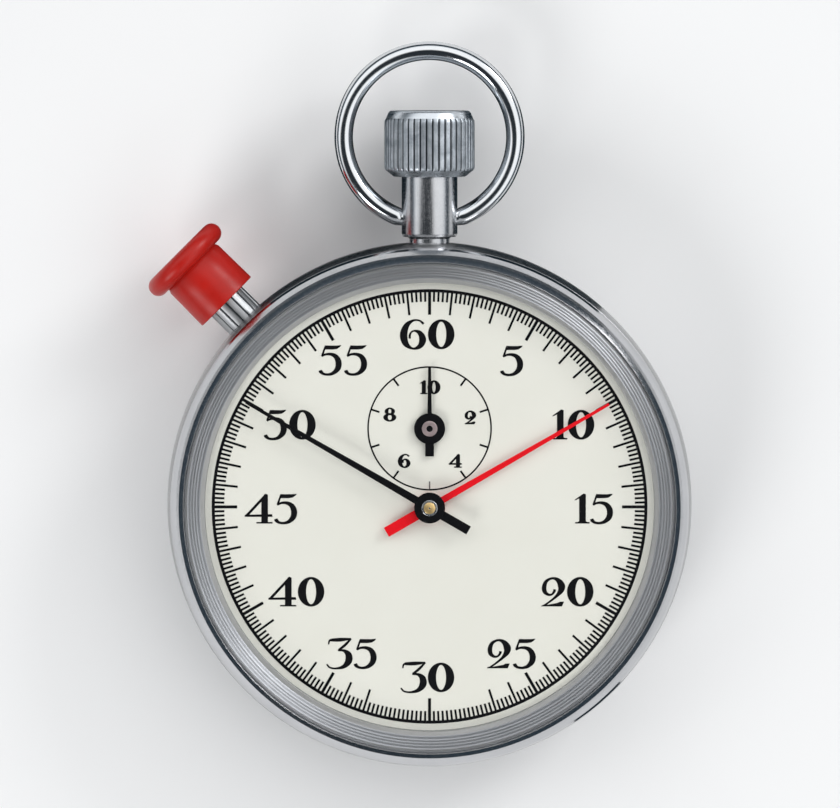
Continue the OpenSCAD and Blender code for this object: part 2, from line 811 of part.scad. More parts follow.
module minute_heart() {
    color("silver") at(minute_at, heart_z) rotate(minute_rest) heart(0.6, 1.5, 0.5, 0.29);
}

module minute_hand() {
    color("black") at(minute_at, minute_hand_z) difference() {
        union() {
            rotate(minute_rest) pointer(minute_hand_l, 2.9, 0.92, 0.64, 0.3, 1.6, 0.15);
            translate([0, 0, -0.15]) cylinder(h = 0.4, r = 0.8);
        }
        translate([0, 0, -1]) cylinder(h = 3, r = 0.29);
    }
}

// ---------- split work ----------

module split_wheel() {
    color("gold") difference() {
        union() {
            translate([0, 0, 10.98]) wheel(90, 0.1, 0, 0.2, 5, 1.3);
            translate([0, 0, 10.98]) cylinder(h = 1.95, r = 0.62);
        }
        translate([0, 0, 10]) cylinder(h = 4, r = 0.43);
    }
}

module split_heart() {
    color("silver") translate([0, 0, 11.18]) rotate(split_rest) heart(0.8, 1.5, 0.2, 0.62);
}

module split_hand() {
    color("red") difference() {
        union() {
            translate([0, 0, split_hand_z]) rotate(split_rest)
                pointer(split_hand_l, 5.2, 1.08, 0.7, 0.3, 1.45, 0.15);
            translate([0, 0, split_hand_z - 0.15]) cylinder(h = 0.45, r = 1.0);
        }
        translate([0, 0, 12]) cylinder(h = 3, r = 0.62);
    }
}

// Half of the pincer that holds the split wheel still
module clamp(side) {
    r = 4.5 + 0.08 + 0.06;
    pivot = [side * clamp_pivot[0], clamp_pivot[1]];
    from = side > 0 ? -38 : 218;
    to = side > 0 ? 70 : 112;
    color("silver") difference() {
        union() {
            translate([0, 0, 10.98]) linear_extrude(0.22)
                polygon(concat(arc([0, 0], r, from, to, 18), arc([0, 0], r + 1.0, to, from, 18)));
            at(pivot, 10.98) cylinder(h = 0.22, r = 1.0);
        }
        at(pivot, 10) cylinder(h = 3, r = 0.54);
    }
}

module split_clamp_left() {
    clamp(-1);
}

module split_clamp_right() {
    clamp(1);
}

module column_outline(base_r, teeth_n, columns, h_base, h_columns) {
    linear_extrude(h_base)
        polygon([for (i = [0:teeth_n - 1], c = [[base_r - 0.4, 0.02], [base_r, 0.1]])
            polar(c[0], (i + c[1]) * 360 / teeth_n)]);
    for (i = [0:columns - 1]) rotate(i * 360 / columns)
        translate([base_r - 1.15, -0.35, 0]) cube([0.7, 0.7, h_columns]);
}

module split_column_wheel() {
    color("silver") at(split_column_at, 10.15) difference() {
        column_outline(2.4, 12, 6, 0.35, 1.0);
        translate([0, 0, -1]) cylinder(h = 3, r = 0.55);
    }
}

// ---------- start, stop and reset work ----------

module operating_lever() {
    color("silver") {
        difference() {
            translate([0, 0, lever_z]) linear_extrude(0.35) {
                polygon([lever_at + [0.9, 0.4], [1.7, 22.7], [-1.7, 22.7], [-5.2, 19.6],
                    [-6.6, 17.2], [-6.0, 16.6], [-4.2, 18.8], [-1.5, 21.2], [1.8, 21.3],
                    lever_at + [-0.3, -0.95]]);
                translate(lever_at) circle(1.1);
            }
            at(lever_at, 1) cylinder(h = 3, r = 0.65);
        }
        // Post that steps out over the back cover's rim, and is pushed by the crown sleeve
        translate([-0.8, 22.1, lever_z]) cube([1.6, 0.6, 2.0]);
        translate([-0.8, 22.1, 3.5]) cube([1.6, 1.85, 0.4]);
        translate([-0.8, 23.45, 3.5]) cube([1.6, 0.5, 3.3]);
        // Pawl that turns the column wheel
        at([-6.2, 17.0], lever_z) cylinder(h = 0.8, r = 0.28);
    }
}

module column_wheel() {
    color("silver") at(column_at, 2.4) difference() {
        column_outline(2.6, 12, 6, 0.4, 1.5);
        translate([0, 0, -1]) cylinder(h = 3, r = 0.65);
    }
}

module reset_hammer() {
    color("silver") translate([0, 0, heart_z]) linear_extrude(0.5) difference() {
        union() {
            translate(hammer_at) circle(1.3);
            polygon([hammer_at + [0.9, 0.9], [-4.4, -1.2], [-3.0, -1.2], [-3.0, 1.2], [-4.4, 1.2],
                [-4.6, 7.1], [-3.0, 7.1], [-3.0, 9.3], [-5.2, 9.3], [-7.0, 12.0], [-7.7, 11.8],
                [-6.0, 8.6], [-6.0, -2.0], hammer_at + [-1.0, -0.8]]);
        }
        translate(hammer_at) circle(0.65);
    }
}

case_band();
bezel();
inner_ring();
crystal();
back_cover();
pendant();
bow();
crown();
winding_stem();
crown_sleeve();
pusher_guide();
pusher_cap();
pusher_plunger();
dial();
movement_ring();
main_plate();
barrel_bridge();
train_bridge();
balance_cock();
pallet_bridge();
bridge_screws();
jewels();
regulator();
hairspring();
click_spring();
click();
winding_pinion();
crown_wheel();
ratchet_wheel();
ratchet_screw();
barrel_arbor();
barrel_drum();
barrel_cover();
mainspring();
second_wheel();
third_wheel();
sweep_wheel();
sweep_arbor();
sweep_heart();
sweep_hand();
escape_wheel();
pallet_fork();
pallet_stones();
balance_wheel();
balance_staff();
impulse_pin();
intermediate_wheel();
minute_wheel();
minute_heart();
minute_hand();
split_wheel();
split_heart();
split_hand();
split_clamp_left();
split_clamp_right();
split_column_wheel();
operating_lever();
column_wheel();
reset_hammer();
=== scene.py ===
import math

import bpy
from mathutils import Matrix, Vector
from mathutils.geometry import delaunay_2d_cdt


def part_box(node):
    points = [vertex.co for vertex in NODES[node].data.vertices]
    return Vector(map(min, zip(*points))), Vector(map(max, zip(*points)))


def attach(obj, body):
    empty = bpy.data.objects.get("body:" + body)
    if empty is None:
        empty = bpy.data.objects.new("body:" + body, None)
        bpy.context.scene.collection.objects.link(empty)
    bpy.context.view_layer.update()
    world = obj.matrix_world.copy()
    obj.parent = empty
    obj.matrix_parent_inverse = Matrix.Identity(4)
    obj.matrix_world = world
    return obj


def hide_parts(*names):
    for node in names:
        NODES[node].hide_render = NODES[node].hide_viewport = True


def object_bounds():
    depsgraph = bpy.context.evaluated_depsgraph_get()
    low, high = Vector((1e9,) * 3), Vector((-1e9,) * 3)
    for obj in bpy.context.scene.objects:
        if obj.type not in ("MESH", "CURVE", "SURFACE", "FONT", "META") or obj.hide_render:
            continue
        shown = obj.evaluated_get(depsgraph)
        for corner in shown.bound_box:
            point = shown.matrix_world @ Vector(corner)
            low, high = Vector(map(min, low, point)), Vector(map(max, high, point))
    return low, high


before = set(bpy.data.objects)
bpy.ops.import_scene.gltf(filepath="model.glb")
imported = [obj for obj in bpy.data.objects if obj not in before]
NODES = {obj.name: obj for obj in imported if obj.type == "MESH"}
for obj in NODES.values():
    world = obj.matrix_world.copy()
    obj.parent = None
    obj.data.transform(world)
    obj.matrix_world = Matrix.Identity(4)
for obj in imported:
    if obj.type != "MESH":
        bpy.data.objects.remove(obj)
BOX_LO, BOX_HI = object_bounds()
MM = 0.001  # every length below is in millimetres, and the meshes are made in metres
TAU = 2 * math.pi
X, Y, Z = Vector((1, 0, 0)), Vector((0, 1, 0)), Vector((0, 0, 1))


# ---------------------------------------------------------------- places taken from the frame

def low(node):
    """Lowest corner of a CAD node, in millimetres."""
    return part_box(node)[0] / MM


def high(node):
    """Highest corner of a CAD node, in millimetres."""
    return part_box(node)[1] / MM


def middle(node):
    """Middle of a CAD node's box, in millimetres."""
    return (low(node) + high(node)) / 2


CASE_R = high("case_band").x
DIAL_TOP = 11.9  # the face that the printing lies on
AXIS_Z = middle("crown").z  # height of the crown, bow and pusher axes
CROWN_LOW, CROWN_TOP = low("crown").y, high("crown").y
CROWN_R = high("crown").x
BOW_WIRE_R = (high("bow").z - low("bow").z) / 2
BOW_R = high("bow").x - BOW_WIRE_R
BOW_Y = high("bow").y - BOW_R - BOW_WIRE_R
BOW_PIN_Y = 30.075  # the bow swings about its pins here
PUSH_DIR = Vector((-1, 1, 0)).normalized()
MINUTE = Vector((0, middle("minute_wheel").y, 0))


# ---------------------------------------------------------------- mesh helpers

def basis(axis):
    """Two directions square to an axis, and the axis."""
    w = Vector(axis).normalized()
    u = X if abs(w.x) < 0.5 else Z.cross(w).normalized()
    u = (u - w * u.dot(w)).normalized()
    return u, w.cross(u), w


def piece(name, verts, faces, body, slot, stands_for=(), sharp=40, smooth=True):
    """One closed mesh in the row frame, riding on a CAD body."""
    mesh = bpy.data.meshes.new(name)
    mesh.from_pydata([Vector(v) * MM for v in verts], [], faces)
    mesh.validate()
    for p in mesh.polygons:
        p.use_smooth = smooth
    mesh.update()
    if smooth:
        mesh.set_sharp_from_angle(angle=math.radians(sharp))
    ob = bpy.data.objects.new(name, mesh)
    bpy.context.scene.collection.objects.link(ob)
    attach(ob, body)
    if stands_for:
        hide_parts(*stands_for)
    return ob


def rounded(points, steps=6):
    """A closed outline of (r, h) or (r, h, fillet) corners, with each fillet turned into an arc."""
    out = []
    n = len(points)
    for i, p in enumerate(points):
        if len(p) < 3 or p[2] <= 0:
            out.append((p[0], p[1]))
            continue
        c = Vector(p[:2])
        a = Vector(points[i - 1][:2]) - c
        b = Vector(points[(i + 1) % n][:2]) - c
        half = a.angle(b) / 2
        reach = min(p[2] / math.tan(half), a.length * 0.49, b.length * 0.49)
        f = reach * math.tan(half)
        a.normalize()
        b.normalize()
        hub = c + (a + b).normalized() * (f / math.sin(half))
        s, e = c + a * reach - hub, c + b * reach - hub
        turn = s.angle(e)
        for k in range(steps + 1):
            t = k / steps
            q = (s * math.sin((1 - t) * turn) + e * math.sin(t * turn)) / math.sin(turn)
            out.append(tuple(hub + q))
    return out


def lathe_mesh(profile, segments, origin=(0, 0, 0), axis=Z, radius=None):
    """Vertices and faces of a closed (r, h) outline turned about an axis, or about a reshaped
    radius(r, h, angle) where one is given."""
    u, v, w = basis(axis)
    o = Vector(origin)
    verts, rings = [], []
    for r, h in profile:
        if r < 1e-6:
            rings.append([len(verts)])
            verts.append(o + w * h)
            continue
        ring = []
        for k in range(segments):
            a = TAU * k / segments
            rr = radius(r, h, a) if radius else r
            ring.append(len(verts))
            verts.append(o + u * (rr * math.cos(a)) + v * (rr * math.sin(a)) + w * h)
        rings.append(ring)
    faces = []
    for i, a in enumerate(rings):
        b = rings[(i + 1) % len(rings)]
        if len(a) == 1 and len(b) == 1:
            continue
        for k in range(segments):
            m = (k + 1) % segments
            if len(a) == 1:
                faces.append((a[0], b[m], b[k]))
            elif len(b) == 1:
                faces.append((a[k], a[m], b[0]))
            else:
                faces.append((a[k], a[m], b[m], b[k]))
    return verts, outward(verts, faces)


def outward(verts, faces):
    """The same faces, turned so that a closed mesh has a positive volume."""
    volume = 0
    for f in faces:
        a = verts[f[0]]
        for i in range(1, len(f) - 1):
            volume += a.dot(verts[f[i]].cross(verts[f[i + 1]]))
    return faces if volume > 0 else [tuple(reversed(f)) for f in faces]


def lathe(name, profile, segments, body, slot, stands_for=(), origin=(0, 0, 0), axis=Z,
          radius=None, **more):
    """One turned piece, riding on a CAD body."""
    verts, faces = lathe_mesh(profile, segments, origin, axis, radius)
    return piece(name, verts, faces, body, slot, stands_for, **more)


def join(*parts):
    """Several (verts, faces) as one."""
    verts, faces = [], []
    for v, f in parts:
        n = len(verts)
        verts += v
        faces += [tuple(i + n for i in face) for face in f]
    return verts, faces


def tube_mesh(points, radii, sides=24):
    """A round tube along points, closed at both ends."""
    verts, faces, rings = [], [], []
    ref = None
    for i, p in enumerate(points):
        a, b = points[max(i - 1, 0)], points[min(i + 1, len(points) - 1)]
        t = (b - a).normalized()
        if ref is None:
            ref = basis(t)[0]
        ref = (ref - t * ref.dot(t)).normalized()
        side = t.cross(ref)
        rings.append(len(verts))
        for k in range(sides):
            c = TAU * k / sides
            verts.append(p + ref * (radii[i] * math.cos(c)) + side * (radii[i] * math.sin(c)))
    for i in range(len(rings) - 1):
        for k in range(sides):
            m = (k + 1) % sides
            faces.append((rings[i] + k, rings[i] + m, rings[i + 1] + m, rings[i + 1] + k))
    faces.append(tuple(reversed(range(sides))))
    faces.append(tuple(rings[-1] + k for k in range(sides)))
    return verts, outward(verts, faces)


def slab(shapes, z0, z1):
    """Overlapping flat polygons joined into one and given a thickness, as (verts, faces)."""
    points, polygons = [], []
    for shape in shapes:
        area = sum(p[0] * q[1] - p[1] * q[0] for p, q in zip(shape, shape[1:] + shape[:1]))
        ring = shape if area > 0 else shape[::-1]
        polygons.append(list(range(len(points), len(points) + len(ring))))
        points += [Vector(p) for p in ring]
    flat, _, tris, _, _, source = delaunay_2d_cdt(points, [], polygons, 0, 1e-5)
    kept = [t for t, s in zip(tris, source) if s]
    n = len(flat)
    verts = [Vector((p.x, p.y, z0)) for p in flat] + [Vector((p.x, p.y, z1)) for p in flat]
    edges = {}
    for t in kept:
        for i, a in enumerate(t):
            edges[(a, t[(i + 1) % len(t)])] = True
    faces = [tuple(i + n for i in t) for t in kept] + [tuple(reversed(t)) for t in kept]
    for a, b in edges:
        if (b, a) not in edges:
            faces.append((a, b, b + n, a + n))
    used = sorted(set(i for f in faces for i in f))
    new = {old: k for k, old in enumerate(used)}
    return [verts[i] for i in used], [tuple(new[i] for i in f) for f in faces]


# ---------------------------------------------------------------- material helpers

class Look:
    """A Principled material with a short way to add nodes."""

    def __init__(self, name, **sockets):
        self.material = bpy.data.materials.new(name)
        self.material.use_nodes = True
        self.tree = self.material.node_tree
        self.shader = self.tree.nodes["Principled BSDF"]
        for key, value in sockets.items():
            self.shader.inputs[key.replace("_", " ")].default_value = value

    def add(self, kind, **values):
        """A node with its properties, and its inputs by name or, as i0, by number."""
        node = self.tree.nodes.new(kind)
        for key, value in values.items():
            if hasattr(node, key):
                setattr(node, key, value)
                continue
            place = int(key[1:]) if key[1:].isdigit() else key.replace("_", " ")
            if isinstance(value, bpy.types.NodeSocket):
                self.tree.links.new(value, node.inputs[place])
            else:
                node.inputs[place].default_value = value
        return node

    def give(self, key, socket):
        self.tree.links.new(socket, self.shader.inputs[key])

    def space(self, origin=(0, 0, 0), axis=Z, scale=(1, 1, 1)):
        """Position in millimetres with the axis as Z and the origin at zero, then scaled."""
        turn = Vector(axis).rotation_difference(Z).to_matrix()
        place = -(turn @ Vector(origin))
        at = self.add("ShaderNodeTexCoord").outputs["Object"]
        out = self.add(
            "ShaderNodeMapping", Vector=at, Location=place, Rotation=turn.to_euler("XYZ"),
            Scale=(1000, 1000, 1000),
        ).outputs[0]
        if tuple(scale) != (1, 1, 1):
            out = self.add("ShaderNodeMapping", Vector=out, Scale=scale).outputs[0]
        return out

    def around(self, origin=(0, 0, 0), axis=Z, scale=(1, 1, 1)):
        """(radius, angle, height) about an axis, scaled: noise read here runs round the axis."""
        parts = self.add("ShaderNodeSeparateXYZ", Vector=self.space(origin, axis))
        x, y, z = parts.outputs
        flat = self.add("ShaderNodeCombineXYZ", X=x, Y=y).outputs[0]
        r = self.add("ShaderNodeVectorMath", operation="LENGTH", i0=flat).outputs["Value"]
        a = self.math("ARCTAN2", y, x)
        return self.add(
            "ShaderNodeCombineXYZ", X=self.math("MULTIPLY", r, scale[0]),
            Y=self.math("MULTIPLY", a, scale[1]), Z=self.math("MULTIPLY", z, scale[2]),
        ).outputs[0]

    def math(self, operation, a, b=0.0):
        return self.add("ShaderNodeMath", operation=operation, i0=a, i1=b).outputs[0]

    def noise(self, vector, scale, detail=3.0, rough=0.5, distortion=0.0):
        return self.add(
            "ShaderNodeTexNoise", Vector=vector, Scale=scale, Detail=detail, Roughness=rough,
            Distortion=distortion,
        ).outputs["Fac"]

    def ramp(self, value, lo, hi, out_lo=0.0, out_hi=1.0):
        return self.add(
            "ShaderNodeMapRange", Value=value, i1=lo, i2=hi, i3=out_lo, i4=out_hi,
        ).outputs[0]

    def mix(self, factor, a, b):
        node = self.add("ShaderNodeMix", data_type="RGBA", i0=factor)
        for socket, value in ((node.inputs[6], a), (node.inputs[7], b)):
            if isinstance(value, bpy.types.NodeSocket):
                self.tree.links.new(value, socket)
            else:
                socket.default_value = value
        return node.outputs[2]

    def bump(self, height, distance, strength=1.0, under=None):
        """Relief of a height in millimetres."""
        node = self.add("ShaderNodeBump", Height=height, Distance=distance * MM, Strength=strength)
        if under is not None:
            self.tree.links.new(under, node.inputs["Normal"])
        return node.outputs[0]


def tone(r, g, b):
    return (r, g, b, 1.0)


def scratches(look, turn, scale, amount):
    """A sparse set of fine straight scratches in one direction."""
    at = look.add(
        "ShaderNodeMapping", Vector=look.space(), Rotation=(0.3, 0.2, turn),
        Scale=(scale, scale * 0.03, scale),
    ).outputs[0]
    lines = look.noise(at, 1.0, 1.0)
    return look.ramp(look.math("ABSOLUTE", look.math("SUBTRACT", lines, 0.5)), 0.0, amount, 1.0, 0.0)


def painted_groove_shade(look, origin, axis, count, phase, width):
    """1 in the bottom of evenly spaced grooves along an axis, 0 on the ridges: the mask for painted shade in
    the groove bottoms.
    """
    angle = look.add("ShaderNodeSeparateXYZ", Vector=look.around(origin, axis)).outputs[1]
    turn = look.math("ADD", look.math("MULTIPLY", angle, count / TAU), phase)
    off = look.math("ABSOLUTE", look.math("SUBTRACT", look.math("FRACT", turn), 0.5))
    return look.ramp(off, width * 0.6, width, 1.0, 0.0)


def metal(name, colour, dull, rough, grain=None, worn=0.3, marks=0.5, fine=1.0, grooves=None,
          **sockets):
    """Bare or plated metal: cloudy tarnish, uneven polish, hair scratches, optional grain and painted shade
    in the bottoms of grooves.
    """
    look = Look(name, Metallic=1.0, **sockets)
    at = look.space()
    cloud = look.noise(at, 0.16 * fine, 4.0, 0.6, 0.4)
    specks = look.noise(at, 2.6 * fine, 4.0, 0.7)
    stain = look.ramp(cloud, 0.42, 0.78, 0.0, worn)
    shade = look.mix(stain, colour, dull)
    if grooves:
        # painted shade: the bottoms of the grooves are darkened almost to black
        shade = look.mix(painted_groove_shade(look, *grooves), shade, tone(0.05, 0.056, 0.064))
    look.give("Base Color", shade)
    hair = look.math("MAXIMUM", scratches(look, 0.5, 9.0, 0.012), scratches(look, -0.9, 7.0, 0.01))
    uneven = look.ramp(specks, 0.3, 0.8, rough, rough + 0.09)
    uneven = look.math("ADD", uneven, look.math("MULTIPLY", stain, 0.12))
    uneven = look.math("ADD", uneven, look.math("MULTIPLY", hair, 0.16 * marks))
    relief = look.bump(specks, 0.004, 0.25 * marks)
    relief = look.bump(look.math("MULTIPLY", hair, -1.0), 0.002, 0.5 * marks, relief)
    if grain:
        kind, origin, axis, lines, depth = grain
        if kind == "round":
            path = look.around(origin, axis, (lines, 1.5, lines))
        elif kind == "along":
            path = look.around(origin, axis, (lines, lines * 4.0, 0.25))
        else:
            path = look.space(origin, axis, (lines, 0.2, lines))
        brush = look.noise(path, 1.0, 2.0, 0.6)
        relief = look.bump(brush, depth, 1.0, relief)
        uneven = look.math("ADD", uneven, look.ramp(brush, 0.35, 0.7, 0.0, 0.1))
    look.give("Roughness", uneven)
    look.give("Normal", relief)
    return look.material


def plastic(name, colour, deep, rough, grain=0.5, **sockets):
    """Moulded plastic: a slight cloud in the colour, fine skin and a few handling marks."""
    look = Look(name, **sockets)
    at = look.space()
    cloud = look.noise(at, 0.35, 4.0, 0.6, 0.3)
    skin = look.noise(at, 14.0, 3.0, 0.6)
    look.give("Base Color", look.mix(look.ramp(cloud, 0.35, 0.75, 0.0, 0.5), colour, deep))
    rub = scratches(look, 1.1, 6.0, 0.012)
    soft = look.ramp(look.noise(at, 1.3, 4.0, 0.65), 0.3, 0.8, rough, rough + 0.12)
    look.give("Roughness", look.math("ADD", soft, look.math("MULTIPLY", rub, 0.15)))
    relief = look.bump(skin, 0.006, grain)
    look.give("Normal", look.bump(look.math("MULTIPLY", rub, -1.0), 0.002, 0.5, relief))
    return look.material


def enamel(name, colour, deep, rough):
    """The dial's baked paint: warm white, slightly uneven, with faint orange peel and dust specks."""
    look = Look(name)
    at = look.space()
    cloud = look.noise(at, 0.11, 5.0, 0.6, 0.5)
    dust = look.ramp(look.noise(at, 9.0, 2.0, 0.7), 0.74, 0.8, 0.0, 0.35)
    shade = look.math("MAXIMUM", look.ramp(cloud, 0.4, 0.8, 0.0, 0.5), dust)
    look.give("Base Color", look.mix(shade, colour, deep))
    look.give("Roughness", look.ramp(look.noise(at, 1.2, 3.0), 0.3, 0.75, rough, rough + 0.15))
    look.give("Normal", look.bump(look.noise(at, 5.0, 4.0, 0.6), 0.006, 0.35))
    return look.material


def lacquer(name, colour, deep, rough, **sockets):
    """Printed ink or hand paint: dense, a little uneven in gloss."""
    look = Look(name, **sockets)
    at = look.space()
    mottle = look.noise(at, 4.0, 4.0, 0.65)
    look.give("Base Color", look.mix(look.ramp(mottle, 0.35, 0.75), colour, deep))
    look.give("Roughness", look.ramp(mottle, 0.3, 0.75, rough, rough + 0.18))
    look.give("Normal", look.bump(look.noise(at, 24.0, 3.0, 0.6), 0.003, 0.4))
    return look.material


def turned_grain(name, colour, dull, rough, pitch, depth):
    """A bridge finish of overlapping turned spots, as on a good watch movement."""
    look = Look(name, Metallic=1.0)
    at = look.space(scale=(1, 1, 0.001))
    relief = None
    for shift in (0.0, 0.5):
        place = look.add("ShaderNodeMapping", Vector=at, Location=(shift, shift, 0)).outputs[0]
        cell = look.add(
            "ShaderNodeTexVoronoi", voronoi_dimensions="2D", Vector=place, Scale=pitch,
            Randomness=0.06,
        ).outputs["Distance"]
        ring = look.math("SINE", look.math("MULTIPLY", cell, 46.0))
        relief = look.bump(ring, depth, 0.6, relief)
    cloud = look.noise(look.space(), 0.2, 4.0, 0.6)
    look.give("Base Color", look.mix(look.ramp(cloud, 0.4, 0.8, 0.0, 0.4), colour, dull))
    look.give("Roughness", look.ramp(look.noise(look.space(), 2.0, 3.0), 0.3, 0.8, rough, rough + 0.14))
    look.give("Normal", relief)
    return look.material


def jewel_look(name):
    """Synthetic ruby, deep red and clear enough to glow."""
    look = Look(name, Roughness=0.08, Coat_Weight=0.6, Coat_Roughness=0.05)
    cloud = look.noise(look.space(), 1.4, 3.0)
    look.give("Base Color", look.mix(cloud, tone(0.42, 0.008, 0.03), tone(0.72, 0.03, 0.08)))
    look.give("Normal", look.bump(look.noise(look.space(), 8.0, 2.0), 0.002, 0.3))
    return look.material


def glass(name):
    """The watch glass: clear over the dial and stronger where it is seen edge on."""
    look = Look(name, Base_Color=tone(0.25, 0.27, 0.28), Roughness=0.03, IOR=1.5)
    look.shader.inputs["Specular IOR Level"].default_value = 0.9
    edge = look.add("ShaderNodeLayerWeight", Blend=0.35).outputs["Facing"]
    wipe = look.noise(look.space(), 0.22, 3.0, 0.6, 0.6)
    haze = look.ramp(wipe, 0.45, 0.8, 0.0, 0.004)
    clear = look.math("ADD", look.ramp(look.math("POWER", edge, 3.0), 0.0, 1.0, 0.008, 0.4), haze)
    look.give("Alpha", clear)
    return look.material


STEEL = tone(0.62, 0.64, 0.66)
STEEL_DULL = tone(0.38, 0.4, 0.43)
CROWN_AT = (0, 0, AXIS_Z)
PUSH_AT = (0, 0, AXIS_Z)
FLUTES = 44  # round the crown
GROOVES, GROOVE_PHASE = 16, 0.59  # round the pusher's guide

M = {
    "chrome": metal("chrome", tone(0.56, 0.565, 0.58), tone(0.4, 0.41, 0.43), 0.05, worn=0.35, marks=0.6),
    "chrome_back": metal(
        "chrome_back", tone(0.78, 0.79, 0.81), tone(0.5, 0.52, 0.55), 0.12,
        ("round", (0, 0, 0), Z, 9.0, 0.0025), worn=0.4,
    ),
    "bow_chrome": metal(
        "bow_chrome", tone(0.68, 0.7, 0.72), tone(0.5, 0.53, 0.56), 0.07, worn=0.25, marks=0.2
    ),
    "satin": metal(
        "satin_steel", tone(0.52, 0.53, 0.55), tone(0.34, 0.35, 0.37), 0.14,
        ("along", CROWN_AT, Y, 6.0, 0.0006), worn=0.4, marks=0.4,
    ),
    "crown_metal": metal(
        "crown_metal", tone(0.64, 0.68, 0.72), tone(0.42, 0.46, 0.5), 0.2,
        ("round", CROWN_AT, Y, 5.0, 0.0005), worn=0.5, marks=0.3,
    ),
    "crown_grip": metal(
        "crown_grip", tone(0.5, 0.54, 0.58), tone(0.16, 0.19, 0.22), 0.33,
        ("along", CROWN_AT, Y, 5.0, 0.0008), worn=0.9, marks=0.3, fine=3.5,
        # painted shade in the bottoms of the crown's flutes
        grooves=(CROWN_AT, Y, FLUTES, 0.0, 0.14),
    ),
    "guide": metal(
        "guide_metal", tone(0.42, 0.43, 0.44), tone(0.32, 0.335, 0.35), 0.34,
        ("along", PUSH_AT, PUSH_DIR, 5.0, 0.0008), worn=0.3, marks=0.3,
        # painted shade in the bottoms of the guide's grooves
        grooves=(PUSH_AT, PUSH_DIR, GROOVES, GROOVE_PHASE, 0.13),
    ),
    "steel": metal("inner_steel", STEEL, STEEL_DULL, 0.18, ("straight", (0, 0, 0), Z, 5.0, 0.002)),
    "round_steel": metal(
        "turned_steel", STEEL, STEEL_DULL, 0.16, ("round", (0, 0, 0), Z, 10.0, 0.002)
    ),
    "black_polish": metal(
        "polished_steel", tone(0.56, 0.58, 0.61), tone(0.3, 0.32, 0.35), 0.06, worn=0.2, marks=0.3
    ),
    "rose_steel": metal(
        "rose_steel", tone(0.62, 0.5, 0.5), tone(0.42, 0.34, 0.34), 0.3, ("round", (0, 0, 0), Z, 10.0, 0.001)
    ),
    "blued": metal(
        "blued_steel", tone(0.035, 0.07, 0.26), tone(0.1, 0.05, 0.22), 0.12, worn=0.6, fine=4.0
    ),
    "brass": turned_grain("gilt_bridge", tone(0.72, 0.55, 0.27), tone(0.5, 0.36, 0.17), 0.2, 0.75, 0.003),
    "plate": metal(
        "plate_brass", tone(0.7, 0.53, 0.26), tone(0.46, 0.33, 0.15), 0.22,
        ("round", (0, 0, 0), Z, 6.0, 0.003),
    ),
    "wheel": metal(
        "wheel_brass", tone(0.76, 0.57, 0.25), tone(0.5, 0.34, 0.14), 0.14,
        ("straight", (0, 0, 0), Z, 8.0, 0.0015), worn=0.35,
    ),
    "ring": metal(
        "ring_grey", tone(0.36, 0.37, 0.39), tone(0.28, 0.29, 0.31), 0.36,
        ("round", (0, 0, 0), Z, 6.0, 0.0005), worn=0.2, marks=0.05,
    ),
    # painted highlight: a lighter copy of the ring's grey metal for its inner lip
    "lip_painted_highlight": metal(
        "lip_painted_highlight", tone(0.62, 0.62, 0.61), tone(0.52, 0.52, 0.51), 0.36,
        ("round", (0, 0, 0), Z, 6.0, 0.0004), worn=0.2, marks=0.05,
    ),
    "red": plastic("red_plastic", tone(0.47, 0.012, 0.007), tone(0.34, 0.009, 0.005), 0.3,
                   Specular_IOR_Level=0.28),
    "enamel": enamel("dial_enamel", tone(0.79, 0.785, 0.71), tone(0.745, 0.735, 0.65), 0.45),
    "ink": lacquer("black_ink", tone(0.002, 0.002, 0.003), tone(0.005, 0.005, 0.006), 0.5,
                   Specular_IOR_Level=0.03),
    "grey_ink": lacquer("grey_ink", tone(0.12, 0.12, 0.12), tone(0.18, 0.18, 0.18), 0.5,
                        Specular_IOR_Level=0.1),
    "black": lacquer("black_lacquer", tone(0.002, 0.002, 0.003), tone(0.005, 0.005, 0.006), 0.3,
                     Specular_IOR_Level=0.02),
    "red_paint": lacquer("red_lacquer", tone(0.8, 0.003, 0.011), tone(0.7, 0.002, 0.008), 0.35,
                         Specular_IOR_Level=0.12),
    "cap_brass": metal("cap_brass", tone(0.92, 0.66, 0.3), tone(0.7, 0.46, 0.18), 0.25,
                       ("round", (0, 0, 0), Z, 14.0, 0.001), worn=0.3, marks=0.3),
    "band": metal("satin_chrome", tone(0.4, 0.403, 0.41), tone(0.3, 0.305, 0.315), 0.2,
                  ("round", (0, 0, 0), Z, 7.0, 0.0006), worn=0.3, marks=0.3),
    "ruby": jewel_look("ruby"),
    "glass": glass("watch_glass"),
}


def paint(ob, look):
    """Gives a piece or a CAD node its material in every slot."""
    if not ob.data.materials:
        ob.data.materials.append(M[look])
    for i in range(len(ob.data.materials)):
        ob.data.materials[i] = M[look]
    return ob


# ---------------------------------------------------------------- case

ROUND = 256  # segments round the case
BEZEL_IN = 25.6  # where the bezel holds the glass
RING_TOP_Z = 14.15  # top of the sloping ring
LIP_R = 23.94  # outer edge of the ring's lip, painted lighter as a highlight


def case_band():
    low_z, high_z = low("case_band").z, high("case_band").z
    paint(lathe("case_band_shell", rounded([
        (24.1, low_z), (25.6, low_z, 0.1), (26.5, 2.9, 1.0), (27.2, 3.9, 1.6), (CASE_R, 5.3, 2.4),
        (CASE_R, 9.4, 3.0), (27.34, 11.2, 1.2), (27.1, high_z, 0.05), (24.1, high_z),
    ]), ROUND, "case", "chrome", ["case_band"]), "band")


def bezel():
    """Facets that mirror, from the outside in, the floor, the horizon and the tent."""
    foot, top = high("case_band").z + 0.04, high("bezel").z
    paint(lathe("bezel_ring", rounded([
        (BEZEL_IN, foot), (27.08, foot, 0.03), (27.06, 13.2, 0.3), (26.86, 13.74, 0.3),
        (26.4, 14.3, 0.5), (26.1, 14.6, 0.6), (25.66, 14.95, 0.02), (25.62, top, 0.02),
        (BEZEL_IN, top - 0.05),
    ]), ROUND, "case", "chrome", ["bezel"]), "chrome")


